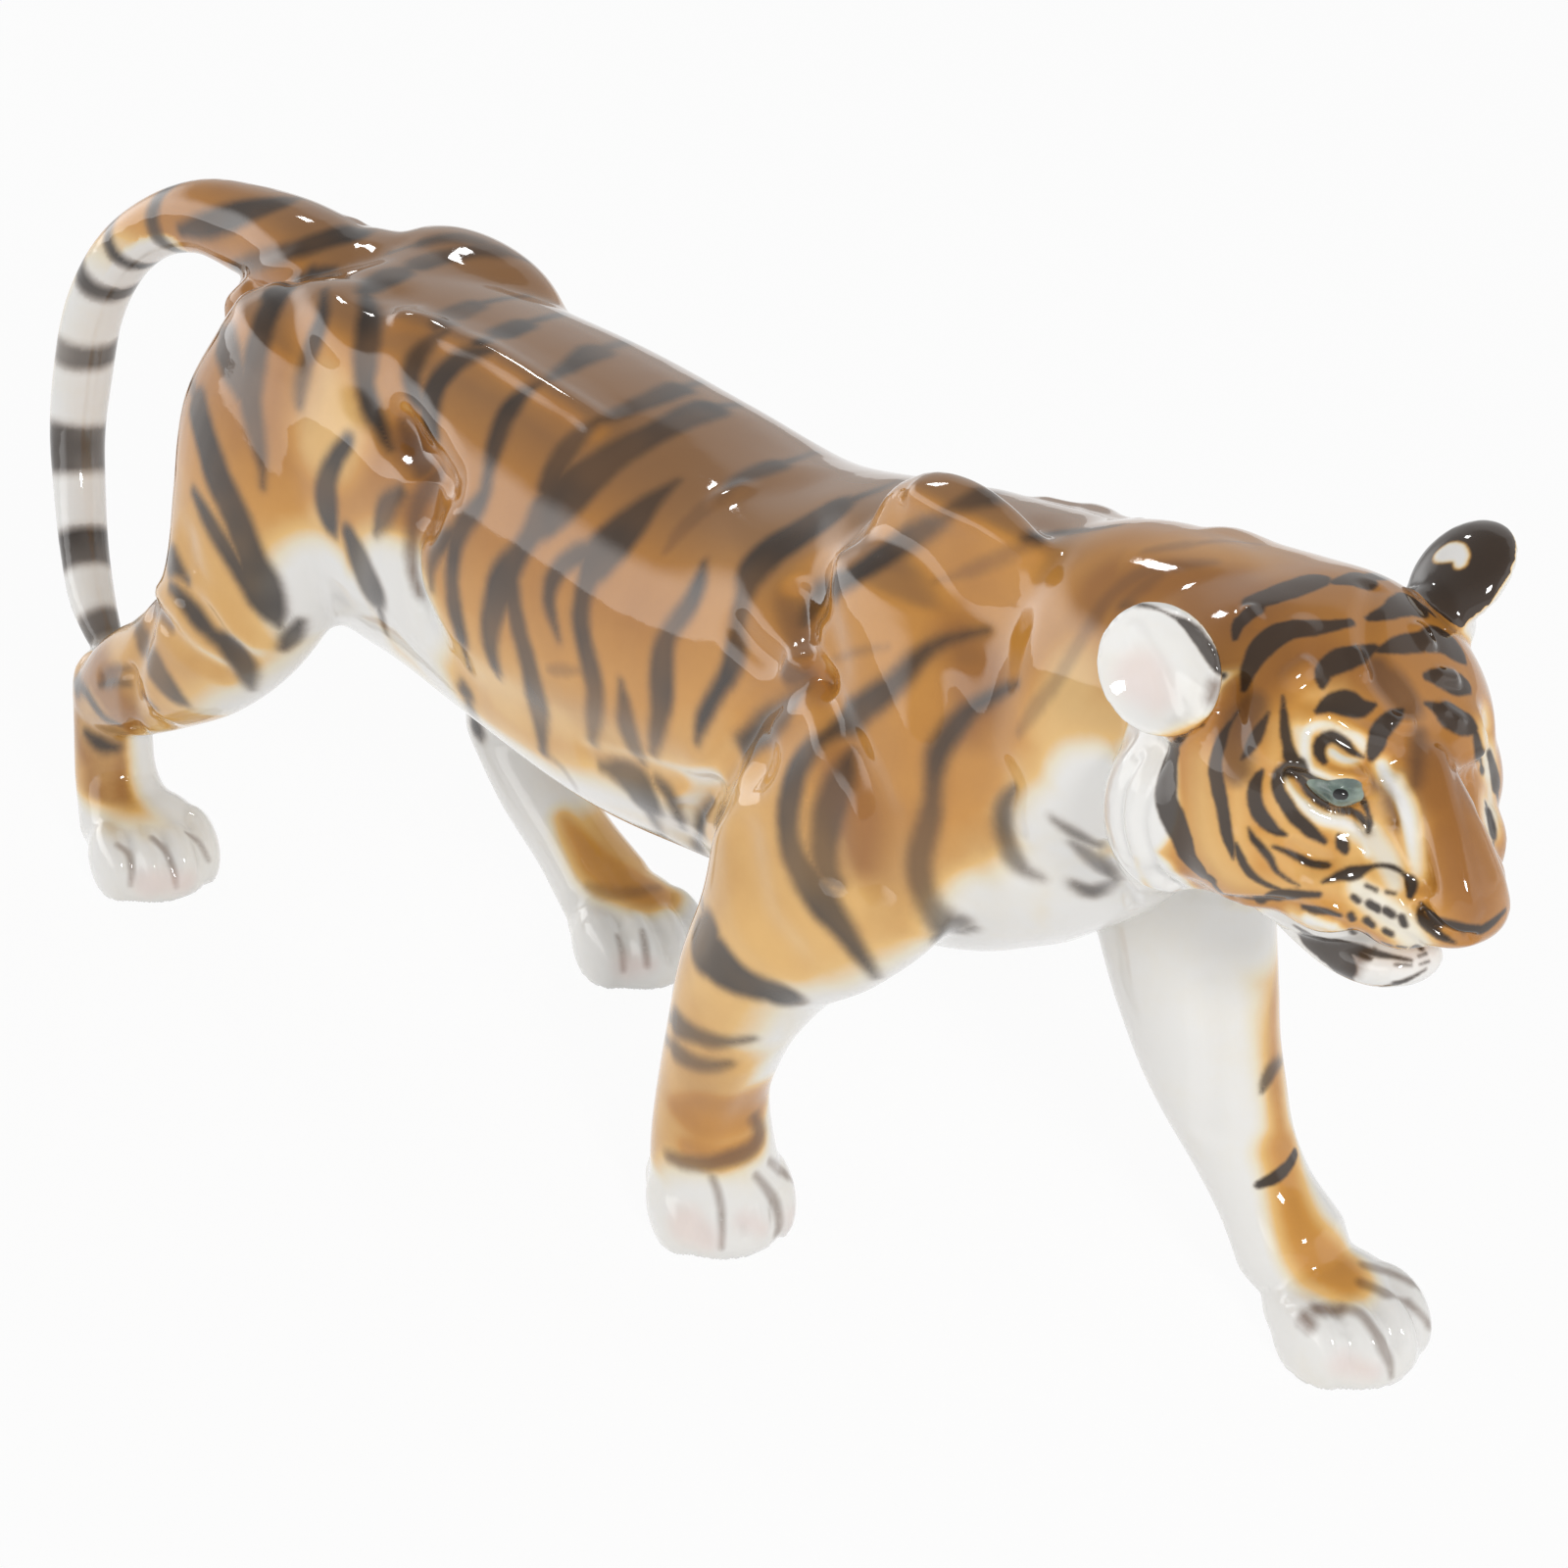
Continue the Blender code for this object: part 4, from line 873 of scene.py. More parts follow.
# Deeper orange in patches, some of them along creases. The patch high on the right shoulder is a
# painted dark reflection.
DEEP = (
    ((1462, 770, 20), (1478, 800, 44), (1490, 850, 50), (1504, 900, 56), (1510, 925, 40)),
    ((1130, 600, 60), (1200, 590, 70), (1270, 620, 60)),
    ((1290, 700, 30), (1320, 670, 40), (1400, 690, 40)),
    ((820, 640, 20), (826, 690, 30)),
    ((430, 450, 20), (440, 490, 26), (424, 530, 20)),
    # Painted reflection: a dark, saturated patch high on the right shoulder.
    ((980, 650, 50), (1000, 700, 60), (990, 740, 40)),
    ((860, 780, 50), (870, 830, 60), (880, 880, 40)),
    ((100, 700, 60), (110, 760, 60), (110, 810, 50)),
    ((1270, 740, 30), (1262, 700, 30)),
)
# Those of them that are mirrored about the head too.
HEAD_DEEP = (DEEP[0], DEEP[3])

# The tail's dark rings: a picture point on each, its width in mm, and how far it slants.
TAIL_RINGS = (
    (165, 212, 5, 0.5),
    (118, 240, 4, 0.5),
    (92, 282, 5, 0.4),
    (82, 362, 6, 0.2),
    (80, 458, 12, 0),
    (92, 556, 10, 0),
    (98, 636, 7, 0),
)

# Where the legs are white: each leg's rows, the angles between which its inner side lies,
# measured about the leg from straight ahead towards the left, and how high the white goes.
LEG_WHITES = (
    (RIGHT_FORE_LEG, -10, 150, 62),
    (RIGHT_THIGH, -5, 150, 78),
    (RIGHT_HIND_FOOT, -5, 150, 60),
    (LEFT_FORE_LEG, -176, -4, 100),
    (LEFT_THIGH, -176, -30, 92),
    (LEFT_HIND_FOOT, -176, -20, 60),
)
# How softly that white ends: in degrees outside and inside the angles, and in mm of height.
SECTOR_OUTER = 20
SECTOR_INNER = 16
LEG_WHITE_FADE = 14

# Stretches over which an area goes from nothing to all. Facing is by a part of the skin's normal,
# an edge is in mm from a stroke's outline, and the rest is in mm along X, Y or Z.
HEAD_START = (-46, -34)
BELLY_FACING = (-0.15, -0.75)
BELLY_START = (-20, 5)
BELLY_LOW = 55
CHEST_FACING = (0.15, 0.6)
CHEST_START = (212, 226)
CHEST_TOP = (130, 105)
CHEST_SIDE = (30, 20)
PAW_WHITE = (20, 13)
PAW_FINE = (22, 16)
THROAT_EDGE = (2, -3)
WHITE_EDGE = (-6, 6)
FACE_WHITE_EDGE = (-1.5, 1.5)
DEEP_EDGE = (-3.8, 4)
PINK_EDGE = (-2, 3)
# Where the upward-facing back turns darker: partly the coat's own darker brown, partly painted
# shade on the top.
DARK_BACK_AND_SHADE_FACING = (0.45, 0.9)
DARK_BACK_AND_SHADE_HEIGHT = (128, 146)
DARK_BACK_AND_SHADE_START = (-60, -10)
DARK_BACK_AND_SHADE_END = (250, 225)
# The lower edge of the face's colour, in the head's axes: its height, and how far it rises over
# which stretch towards the nose.
LIP_HEIGHT = -35
LIP_RISE = (9, -14, -4)
# How far the coat is thinned or laid on at the most, and over which stretch: lower down, towards
# the chest, under cream, under orange and where the face is pale.
LOW_THIN = (0.4, 136, 98)
FORE_THIN = (0.12, 140, 175)
CREAM_THIN = (0.5, -8, 5)
ORANGE_FULL = (0.85, -4, 4)
PALE_THIN = (0.85, -3.5, 2.0)

# The ears' paint: where a leaf begins at its foot and ends at its rim and its sides, in mm from
# its middle, and how far the bowl's skin faces its way. Then the white spot's edges.
EAR_FOOT = (-10, -7)
EAR_RIM = (17, 15)
EAR_DEPTH = (8, 6)
BOWL_FACING = (-0.25, 0.1)
SPOT_OUTER = -1.5
SPOT_EDGE = (-1, 1)

# The tail's paint: the rows that it covers, how far out in radii, and where it ends along X and
# in height. Then the middle of the tail's loop, how far skin faces it on the pale inner side and
# on the outer side, the heights between which the tail turns white, how pale the outer side is at
# the least and how much more it gets, where along X the pale begins, and its edge.
PAINTED_TAIL = TAIL[2:]
TAIL_RADII = 1.9
TAIL_ROOT = -30
TAIL_TIP = 42
TAIL_HEART = (-55.0, 0.0, 95.0)
TAIL_INNER = (-0.2, 0.5)
TAIL_OUTER = (-0.9, -0.2)
TAIL_LOWER = (150, 128)
TAIL_PALE_LEAST = 0.55
TAIL_PALE_MORE = 0.45
TAIL_PALE_FROM = (-44, -64)
TAIL_PALE_EDGE = (0.5, 0.62)


def hermite_rows(rows, step):
    """Rows of numbers made into a smooth run of rows about one step apart."""
    rows = np.array(rows, float)
    gaps = np.linalg.norm(np.diff(rows[:, :3], axis=0), axis=1)
    slopes = np.diff(rows, axis=0) / gaps[:, None]
    inner = slopes[:-1] * gaps[1:, None] + slopes[1:] * gaps[:-1, None]
    inner /= (gaps[1:] + gaps[:-1])[:, None]
    tangents = np.vstack([slopes[:1], inner, slopes[-1:]])
    out = []
    for i, gap in enumerate(gaps):
        count = max(2, int(math.ceil(gap / step)))
        for t in np.arange(count) / count:
            a = 2 * t**3 - 3 * t**2 + 1
            b = (t**3 - 2 * t**2 + t) * gap
            c = 3 * t**2 - 2 * t**3
            d = (t**3 - t**2) * gap
            out.append(a * rows[i] + b * tangents[i] + c * rows[i + 1] + d * tangents[i + 1])
    out.append(rows[-1])
    return np.array(out)


def add_tube(bm, rows, across=(0, 1, 0), matrix=Matrix(), power=2.0, step=2.5, sides=40):
    """A tube of rings with domed ends, along the middles of the rows. A power over 2 squares it."""
    rings = hermite_rows(rows, step)
    middles = rings[:, :3]
    ways = np.gradient(middles, axis=0)
    ways /= np.linalg.norm(ways, axis=1)[:, None]
    across = np.array(across, float)
    side = across - ways * (ways @ across)[:, None]
    side /= np.linalg.norm(side, axis=1)[:, None]
    depth = np.cross(ways, side)
    plan = [(middles[i], side[i], depth[i], rings[i, 3], rings[i, 4]) for i in range(len(rings))]
    for end, sign in ((0, -1), (-1, 1)):
        middle, s, d, half_s, half_d = plan[end]
        reach = min(half_s, half_d)
        for angle in np.radians(DOME_ANGLES):
            centre = middle + ways[end] * sign * reach * math.sin(angle)
            shrink = math.cos(angle)
            ring = (centre, s, d, half_s * shrink, half_d * shrink)
            plan.insert(0 if end == 0 else len(plan), ring)
    turns = np.linspace(0, 2 * math.pi, sides, endpoint=False)
    wide = np.sign(np.cos(turns)) * np.abs(np.cos(turns)) ** (2 / power)
    deep = np.sign(np.sin(turns)) * np.abs(np.sin(turns)) ** (2 / power)
    loops = []
    for centre, s, d, half_s, half_d in plan:
        points = centre + np.outer(wide * half_s, s) + np.outer(deep * half_d, d)
        loops.append([bm.verts.new(matrix @ Vector(p * MM)) for p in points])
    for low, high in zip(loops, loops[1:]):
        for i in range(sides):
            j = (i + 1) % sides
            bm.faces.new((low[i], low[j], high[j], high[i]))
    bm.faces.new(loops[0][::-1])
    bm.faces.new(loops[-1])


def add_mass(bm, row, matrix=Matrix()):
    """An ellipsoid: its middle, its half-lengths and its tilt about Y in degrees."""
    x, y, z, length, width, height, tilt = row
    place = Matrix.Translation(Vector((x, y, z)) * MM) @ Matrix.Rotation(math.radians(tilt), 4, "Y")
    size = Matrix.Diagonal((length * MM, width * MM, height * MM, 1))
    bmesh.ops.create_icosphere(bm, subdivisions=4, radius=1, matrix=matrix @ place @ size)


def add_paw(bm, spot):
    """A rounded pad with four toes fanned across its front."""
    x, y, heading = spot
    turn = Matrix.Rotation(math.radians(heading), 4, "Z")
    matrix = Matrix.Translation((x * MM, y * MM, 0)) @ turn
    half_length = PAW_LENGTH / 2
    half_width = PAW_WIDTH / 2

    def sized(shares):
        return shares[0] * half_length, shares[1] * half_width, shares[2] * PAW_HEIGHT

    for ahead, height, shares, tilt in PAW_PADS:
        add_mass(bm, (ahead, 0, height, *sized(shares), tilt), matrix)
    for across, ahead in TOE_PLACES:
        middle = (ahead * half_length, across * half_width, TOE_HEIGHT)
        add_mass(bm, (*middle, *sized(TOE_SHARES), TOE_TILT), matrix)


def head_matrix():
    """The head's axes, forward, left and up, as a matrix in metres."""
    turn = (
        Matrix.Rotation(HEAD_YAW, 4, "Z")
        @ Matrix.Rotation(HEAD_PITCH, 4, "Y")
        @ Matrix.Rotation(HEAD_ROLL, 4, "X")
    )
    return Matrix.Translation(Vector(HEAD_POINT) * MM) @ turn


def add_head(bm):
    """The skull, cheeks and muzzle."""
    matrix = head_matrix()
    for row in HEAD_MASSES:
        add_mass(bm, row, matrix)
        if row[1]:
            add_mass(bm, (row[0], -row[1], *row[2:]), matrix)
    add_tube(bm, HEAD_CORE, matrix=matrix, power=SKULL_SQUARENESS)
    add_tube(bm, HEAD_BRIDGE, matrix=matrix)


def add_ear(bm, middle, face, up, root):
    """A cupped ear leaf and the fleshy root that it grows from, in the head's own axes."""
    matrix = head_matrix()
    face = Vector(face).normalized()
    across = Vector(up).cross(face).normalized()
    turn = Matrix((across, face.cross(across), face)).transposed().to_4x4()
    place = matrix @ Matrix.Translation(Vector(middle) * MM) @ turn
    loops = []
    for share, depth in EAR_PROFILE:
        loop = []
        for angle in np.linspace(0, 2 * math.pi, EAR_SIDES, endpoint=False):
            wide = math.cos(angle) * EAR_HALF_WIDTH * share
            high = math.sin(angle) * EAR_HALF_HEIGHT * share
            loop.append(bm.verts.new(place @ (Vector((wide, high, depth)) * MM)))
        loops.append(loop)
    for low, high in zip(loops, loops[1:]):
        for i, corner in enumerate(low):
            j = (i + 1) % len(low)
            bm.faces.new((corner, low[j], high[j], high[i]))
    bm.faces.new(loops[0][::-1])
    bm.faces.new(loops[-1])
    add_mass(bm, (*root, *EAR_ROOT, 0), matrix)


def evaluated_mesh(source, name):
    """The mesh that an object's modifiers make. The object itself is removed."""
    bpy.context.view_layer.update()
    evaluated = source.evaluated_get(bpy.context.evaluated_depsgraph_get())
    result = bpy.data.meshes.new_from_object(evaluated)
    result.name = name
    bpy.data.objects.remove(source)
    return result


def fused(name, bm, voxel, softening):
    """The forms in bm fused into one skin and softened, as a mesh."""
    mesh = bpy.data.meshes.new(name)
    bmesh.ops.recalc_face_normals(bm, faces=bm.faces)
    bm.to_mesh(mesh)
    bm.free()
    rough = bpy.data.objects.new(name, mesh)
    bpy.context.scene.collection.objects.link(rough)
    remesh = rough.modifiers.new("fuse", "REMESH")
    remesh.mode = "VOXEL"
    remesh.voxel_size = voxel * MM
    smooth = rough.modifiers.new("soften", "SMOOTH")
    smooth.factor = 0.5
    smooth.iterations = softening
    return evaluated_mesh(rough, name)


def boxed(points, line, reach):
    """The indices of the points that may be within reach of the line."""
    low = line.min(axis=0) - reach
    high = line.max(axis=0) + reach
    return np.flatnonzero(((points > low) & (points < high)).all(axis=1))


def pressed(points, normals, lines):
    """The points moved along their normals, where they are near one of the lines."""
    moved = points.copy()
    for depth, reach, line in lines:
        line = np.array(line, float)
        near = boxed(points, line, reach)
        spots = points[near]
        nearest = np.full(len(near), np.inf)
        for start, end in zip(line, line[1:]):
            along = end - start
            share = np.clip((spots - start) @ along / max(along @ along, 1e-9), 0, 1)
            away = np.linalg.norm(spots - start - share[:, None] * along, axis=1)
            nearest = np.minimum(nearest, away)
        fade = np.cos(np.clip(nearest / reach, 0, 1) * math.pi) * 0.5 + 0.5
        moved[near] -= normals[near] * (depth * fade)[:, None]
    return moved


def view_axes():
    """Where the camera is, in mm, and the directions to its right, up and backwards."""
    azimuth = math.radians(VIEW_AZIMUTH)
    elevation = math.radians(VIEW_ELEVATION)
    right = np.array((math.cos(azimuth), math.sin(azimuth), 0))
    level = math.cos(elevation)
    back = np.array((math.sin(azimuth) * level, -math.cos(azimuth) * level, math.sin(elevation)))
    target = np.array(VIEW_TARGET)
    return target + back * VIEW_DISTANCE, right, np.cross(back, right), back


def skin_tree(points, skin):
    """The skin, with its points in mm, as a tree that rays are cast at."""
    return BVHTree.FromPolygons(points.tolist(), [tuple(face.vertices) for face in skin.polygons])


def head_places(points):
    """The points in the head's axes."""
    return (points - np.array(HEAD_AXES.translation)) @ np.array(HEAD_AXES.to_3x3())


def on_face(points, margin=0):
    """Whether each point is on the face or the ears, at least a margin in mm inside."""
    local = head_places(points)
    return (local[:, 0] > FACE_BACK + margin) & (local[:, 2] > FACE_LOW + margin)


def flip_of(matrix):
    """The mirroring in the plane that the matrix's second axis crosses."""
    return matrix @ Matrix.Diagonal((1, -1, 1, 1)) @ matrix.inverted()


def limb_rings(rows):
    """The rows of a leg or the tail as rings about one RING_STEP apart, on the finished body."""
    return hermite_rows(np.array(rows, float) - (CENTRE_X, CENTRE_Y, 0, 0, 0), RING_STEP)


def cast(tree, x, y):
    """The place on the skin and its normal under a picture point, or None."""
    way = RIGHT * (x - PICTURE / 2) - UP * (y - PICTURE / 2) - BACK * VIEW_FOCAL
    spot, normal, _, _ = tree.ray_cast(Vector(EYE), Vector(way).normalized())
    if spot is None:
        return None
    return np.array(spot), np.array(normal)


def half_width(tree, x, y, way, width, spot):
    """Half of a stroke's width on the skin in mm, from its width in picture points."""
    away = (EYE - spot) @ BACK
    plain = width * away / VIEW_FOCAL
    across = np.array((-way[1], way[0])) * width / 2
    ends = [cast(tree, x + side * across[0], y + side * across[1]) for side in (-1, 1)]
    if None in ends:
        return plain / 2
    wide = np.linalg.norm(ends[0][0] - ends[1][0])
    return (wide if plain <= wide < WIDEST * plain else plain) / 2


def laid(tree, rows, step=STROKE_STEP):
    """A stroke laid on the skin, as runs of rows: place, half-width and normal of the skin."""
    rows = np.array([tuple(row) + (0,) * (3 - len(row)) for row in rows], float)
    if len(rows) > 1:
        rows = hermite_rows(rows, step)
    ways = np.gradient(rows[:, :2], axis=0) if len(rows) > 1 else np.array([(1.0, 0.0)])
    ways /= np.linalg.norm(ways, axis=1)[:, None]
    found = []
    run = []
    for (x, y, width), way in zip(rows, ways):
        hit = cast(tree, x, y)
        if run and (hit is None or np.linalg.norm(hit[0] - run[-1][:3]) > STROKE_JUMP):
            found.append(np.array(run))
            run = []
        if hit is None:
            continue
        half = half_width(tree, x, y, way, width, hit[0]) if width else 0
        run.append((*hit[0], half, *hit[1]))
    if run:
        found.append(np.array(run))
    return found


def ground_lines(tree, creases):
    """Creases laid on the skin, as lines for the function that presses them in."""
    lines = []
    for depth, reach, line in creases:
        for run in laid(tree, line):
            if len(run) > 1:
                lines.append((depth, reach, run[:, :3]))
    return lines


def brushed(field, points, normals, runs, fade):
    """Raises the field to how far inside a stroke each point is, in mm. Outside is negative."""
    for run in runs:
        spots = run[:, :3]
        near = boxed(points, spots, run[:, 3].max() + fade)
        if not len(near):
            continue
        p = points[near]
        n = normals[near]
        best = np.full(len(near), -fade)
        for i in range(max(1, len(run) - 1)):
            start = run[i]
            end = run[min(i + 1, len(run) - 1)]
            along = end[:3] - start[:3]
            share = np.clip((p - start[:3]) @ along / max(along @ along, 1e-9), 0, 1)
            away = np.linalg.norm(p - start[:3] - share[:, None] * along, axis=1)
            inside = start[3] + share * (end[3] - start[3]) - away
            inside = np.where(n @ start[4:7] > SAME_SIDE, inside, -fade)
            best = np.maximum(best, inside)
        field[near] = np.maximum(field[near], best)


def mirrored(tree, runs, matrix):
    """The runs on the other side of the plane that the matrix's second axis crosses."""
    flip = flip_of(matrix)
    found = []
    for run in runs:
        rows = []
        for row in run:
            spot, normal, _, away = tree.find_nearest(flip @ Vector(row[:3]))
            if away < MIRROR_REACH:
                rows.append((*spot, row[3], *normal))
        if rows:
            found.append(np.array(rows))
    return found


def limb_places(points, rows):
    """For each point the nearest of the rows' rings: its index, all the rings and the distance."""
    rings = limb_rings(rows)
    best = np.full(len(points), np.inf)
    place = np.zeros(len(points), int)
    for i, ring in enumerate(rings):
        away = np.linalg.norm(points - ring[:3], axis=1)
        nearer = away < best
        best[nearer] = away[nearer]
        place[nearer] = i
    return place, rings, best


def carried(tree, runs, source, target):
    """Runs on the right leg carried to the left leg, each as far down it and on its outer side."""
    start = limb_rings(source)[:, :3]
    end = limb_rings(target)[:, :3]
    found = []
    for run in runs:
        rows = []
        for row in run:
            away = np.linalg.norm(start - row[:3], axis=1)
            i = int(away.argmin())
            if away[i] > LEG_REACH or i < BARE_RINGS:
                continue
            j = min(len(end) - 1, round(i * (len(end) - 1) / (len(start) - 1)))
            spot = end[j] + (row[:3] - start[i]) * (1, -1, 1)
            place, normal, _, far = tree.find_nearest(Vector(spot))
            if far < MIRROR_REACH:
                rows.append((*place, row[3], *normal))
        if len(rows) > 1:
            found.append(np.array(rows))
    return found


def smoothstep(low, high, values):
    """0 at low and beyond, growing smoothly to 1 at high. High may be the smaller of the two."""
    share = np.clip((values - low) / (high - low), 0, 1)
    return share * share * (3 - 2 * share)


def eased(most, low, high, values):
    """From 0 at low to the most at high, as smoothly."""
    return most * smoothstep(low, high, values)


def softened(values, edges, turns, only=None):
    """Values of the points averaged with their neighbours', turns times, where only says so."""
    count = np.bincount(edges.ravel(), minlength=len(values))
    if values.ndim > 1:
        count = count[:, None]
        only = None if only is None else only[:, None]
    for _ in range(turns):
        total = np.zeros_like(values)
        np.add.at(total, edges[:, 0], values[edges[:, 1]])
        np.add.at(total, edges[:, 1], values[edges[:, 0]])
        mixed = (values + total / count) / 2
        values = mixed if only is None else np.where(only, mixed, values)
    return values


def arrays(mesh):
    """The mesh's points in mm, their normals and its edges."""
    points = np.empty(len(mesh.vertices) * 3)
    mesh.vertices.foreach_get("co", points)
    normals = np.empty(len(mesh.vertices) * 3)
    mesh.vertex_normals.foreach_get("vector", normals)
    edges = np.empty(len(mesh.edges) * 2, int)
    mesh.edges.foreach_get("vertices", edges)
    return points.reshape(-1, 3) / MM, normals.reshape(-1, 3), edges.reshape(-1, 2)


def placed(mesh, points):
    """Moves the mesh's points to these places in mm."""
    mesh.vertices.foreach_set("co", (points * MM).ravel())
    mesh.update()


def plain_skin():
    """The tiger's skin before its fine creases, with its origin under the middle of its box."""
    core = bmesh.new()
    add_tube(core, TORSO, power=TORSO_SQUARENESS)
    add_tube(core, NECK)
    for row in BODY_MASSES:
        add_mass(core, row)
    for rows in (RIGHT_FORE_LEG, LEFT_FORE_LEG, RIGHT_THIGH, LEFT_THIGH):
        add_tube(core, rows[:LEG_TOP_ROWS])
    core_mesh = fused("core", core, CORE_VOXEL, CORE_SOFTENING)
    head = bmesh.new()
    add_head(head)
    head_mesh = fused("head", head, HEAD_VOXEL, HEAD_SOFTENING)
    whole = bmesh.new()
    whole.from_mesh(core_mesh)
    whole.from_mesh(head_mesh)
    add_tube(whole, LOWER_JAW, matrix=head_matrix())
    for side in (-1, 1):
        eye = (EYE_AHEAD, side * EYE_SPREAD, EYE_UP, EYE_RADIUS, EYE_RADIUS, EYE_RADIUS, 0)
        add_mass(whole, eye, head_matrix())
    for rows in (RIGHT_FORE_LEG, LEFT_FORE_LEG, RIGHT_THIGH, LEFT_THIGH):
        add_tube(whole, rows)
    for rows in (RIGHT_HIND_FOOT, LEFT_HIND_FOOT):
        add_tube(whole, rows)
    add_tube(whole, TAIL)
    for spot in (RIGHT_FORE_PAW, LEFT_FORE_PAW, RIGHT_HIND_PAW, LEFT_HIND_PAW):
        add_paw(whole, spot)
    add_ear(whole, *RIGHT_EAR)
    add_ear(whole, *LEFT_EAR)
    skin = fused("whole", whole, BODY_VOXEL, BODY_SOFTENING)
    points, normals, _ = arrays(skin)
    turned = head_matrix().to_3x3()
    face_lines = []
    for depth, reach, line in HEAD_LINES:
        for side in (-1, 1):
            spots = [
                Vector(HEAD_POINT) + turned @ Vector((ahead, side * left, up))
                for ahead, left, up in line
            ]
            face_lines.append((depth, reach, spots))
    points = pressed(points, normals, BODY_LINES)
    points = pressed(points, normals, face_lines)
    points -= (CENTRE_X, CENTRE_Y, 0)
    points[:, 2] = np.maximum(points[:, 2], 0)
    placed(skin, points)
    return skin


def head_axes():
    """The head's axes as a matrix in mm about the body's origin."""
    matrix = head_matrix()
    matrix.translation = Vector(HEAD_POINT) - Vector((CENTRE_X, CENTRE_Y, 0))
    return matrix


def refined_face(skin):
    """Cuts the quads of the face and the ears in four and softens them."""
    points, _, _ = arrays(skin)
    chosen = on_face(points)
    bm = bmesh.new()
    bm.from_mesh(skin)
    bm.verts.ensure_lookup_table()
    edges = [edge for edge in bm.edges if all(chosen[corner.index] for corner in edge.verts)]
    bmesh.ops.subdivide_edges(bm, edges=edges, cuts=1, use_grid_fill=True)
    bm.to_mesh(skin)
    bm.free()
    points, _, edges = arrays(skin)
    placed(skin, softened(points, edges, FACE_SOFTENING, on_face(points, FACE_MARGIN)))


def creased(skin, creases, matrix):
    """Presses creases into the skin, and their mirror images on its hidden side."""
    points, normals, _ = arrays(skin)
    tree = skin_tree(points, skin)
    lines = ground_lines(tree, creases)
    flip = flip_of(matrix)
    hidden = []
    for depth, reach, line in lines:
        other = []
        for spot in line:
            place, normal, _, away = tree.find_nearest(flip @ Vector(spot))
            if away < MIRROR_REACH and normal.dot(Vector(BACK)) < HIDDEN_CREASE:
                other.append(place)
        if len(other) > 1:
            hidden.append((depth, reach, other))
    points = pressed(points, normals, lines)
    placed(skin, pressed(points, normals, hidden))


def bare_share(points, normals, head):
    """How far each point is white: the belly, the chest, inside the legs, the paws and the chin."""
    row_x = points[:, 0] + CENTRE_X
    row_y = points[:, 1] + CENTRE_Y
    height = points[:, 2]
    under = smoothstep(*BELLY_FACING, normals[:, 2]) * smoothstep(*BELLY_START, row_x)
    under *= (height > BELLY_LOW) * (1 - head)
    chest = (
        smoothstep(*CHEST_FACING, normals[:, 0])
        * smoothstep(*CHEST_START, row_x)
        * smoothstep(*CHEST_TOP, height)
        * smoothstep(*CHEST_SIDE, np.abs(row_y))
    )
    inner = np.zeros(len(points))
    for rows, first, last, top in LEG_WHITES:
        place, rings, reach = limb_places(points, rows)
        offset = points - rings[place, :3]
        angle = np.degrees(np.arctan2(offset[:, 1], offset[:, 0]))
        centre = (first + last) / 2
        half = (last - first) / 2
        turned = np.abs((angle - centre + 180) % 360 - 180)
        sector = smoothstep(half + SECTOR_OUTER, half - SECTOR_INNER, turned) * (reach < LEG_REACH)
        below = smoothstep(top + LEG_WHITE_FADE, top - LEG_WHITE_FADE, height)
        inner = np.maximum(inner, sector * below)
    local = head_places(points)
    lip = LIP_HEIGHT + eased(*LIP_RISE, local[:, 0])
    throat = smoothstep(*THROAT_EDGE, local[:, 2] - lip) * head
    return np.maximum.reduce([under, chest, smoothstep(*PAW_WHITE, height), inner, throat])


def with_ears(coat, ink, points, normals):
    """The coat and the ink with the ears' white bowls and black backs."""
    local = head_places(points)
    turned = normals @ np.array(HEAD_AXES.to_3x3())
    for middle, face, up, _ in (RIGHT_EAR, LEFT_EAR):
        offset = local - np.array(middle)
        up = np.array(up) / np.linalg.norm(up)
        out = np.array(face) / np.linalg.norm(face)
        leaf = smoothstep(*EAR_FOOT, offset @ up)
        leaf *= smoothstep(*EAR_RIM, np.linalg.norm(offset, axis=1))
        leaf *= smoothstep(*EAR_DEPTH, np.abs(offset @ out))
        bowl = smoothstep(*BOWL_FACING, turned @ out) * leaf
        coat = coat * (1 - bowl)
        ink = np.maximum(ink, FADE * (2 * (leaf - bowl) - 1))
    return coat, ink


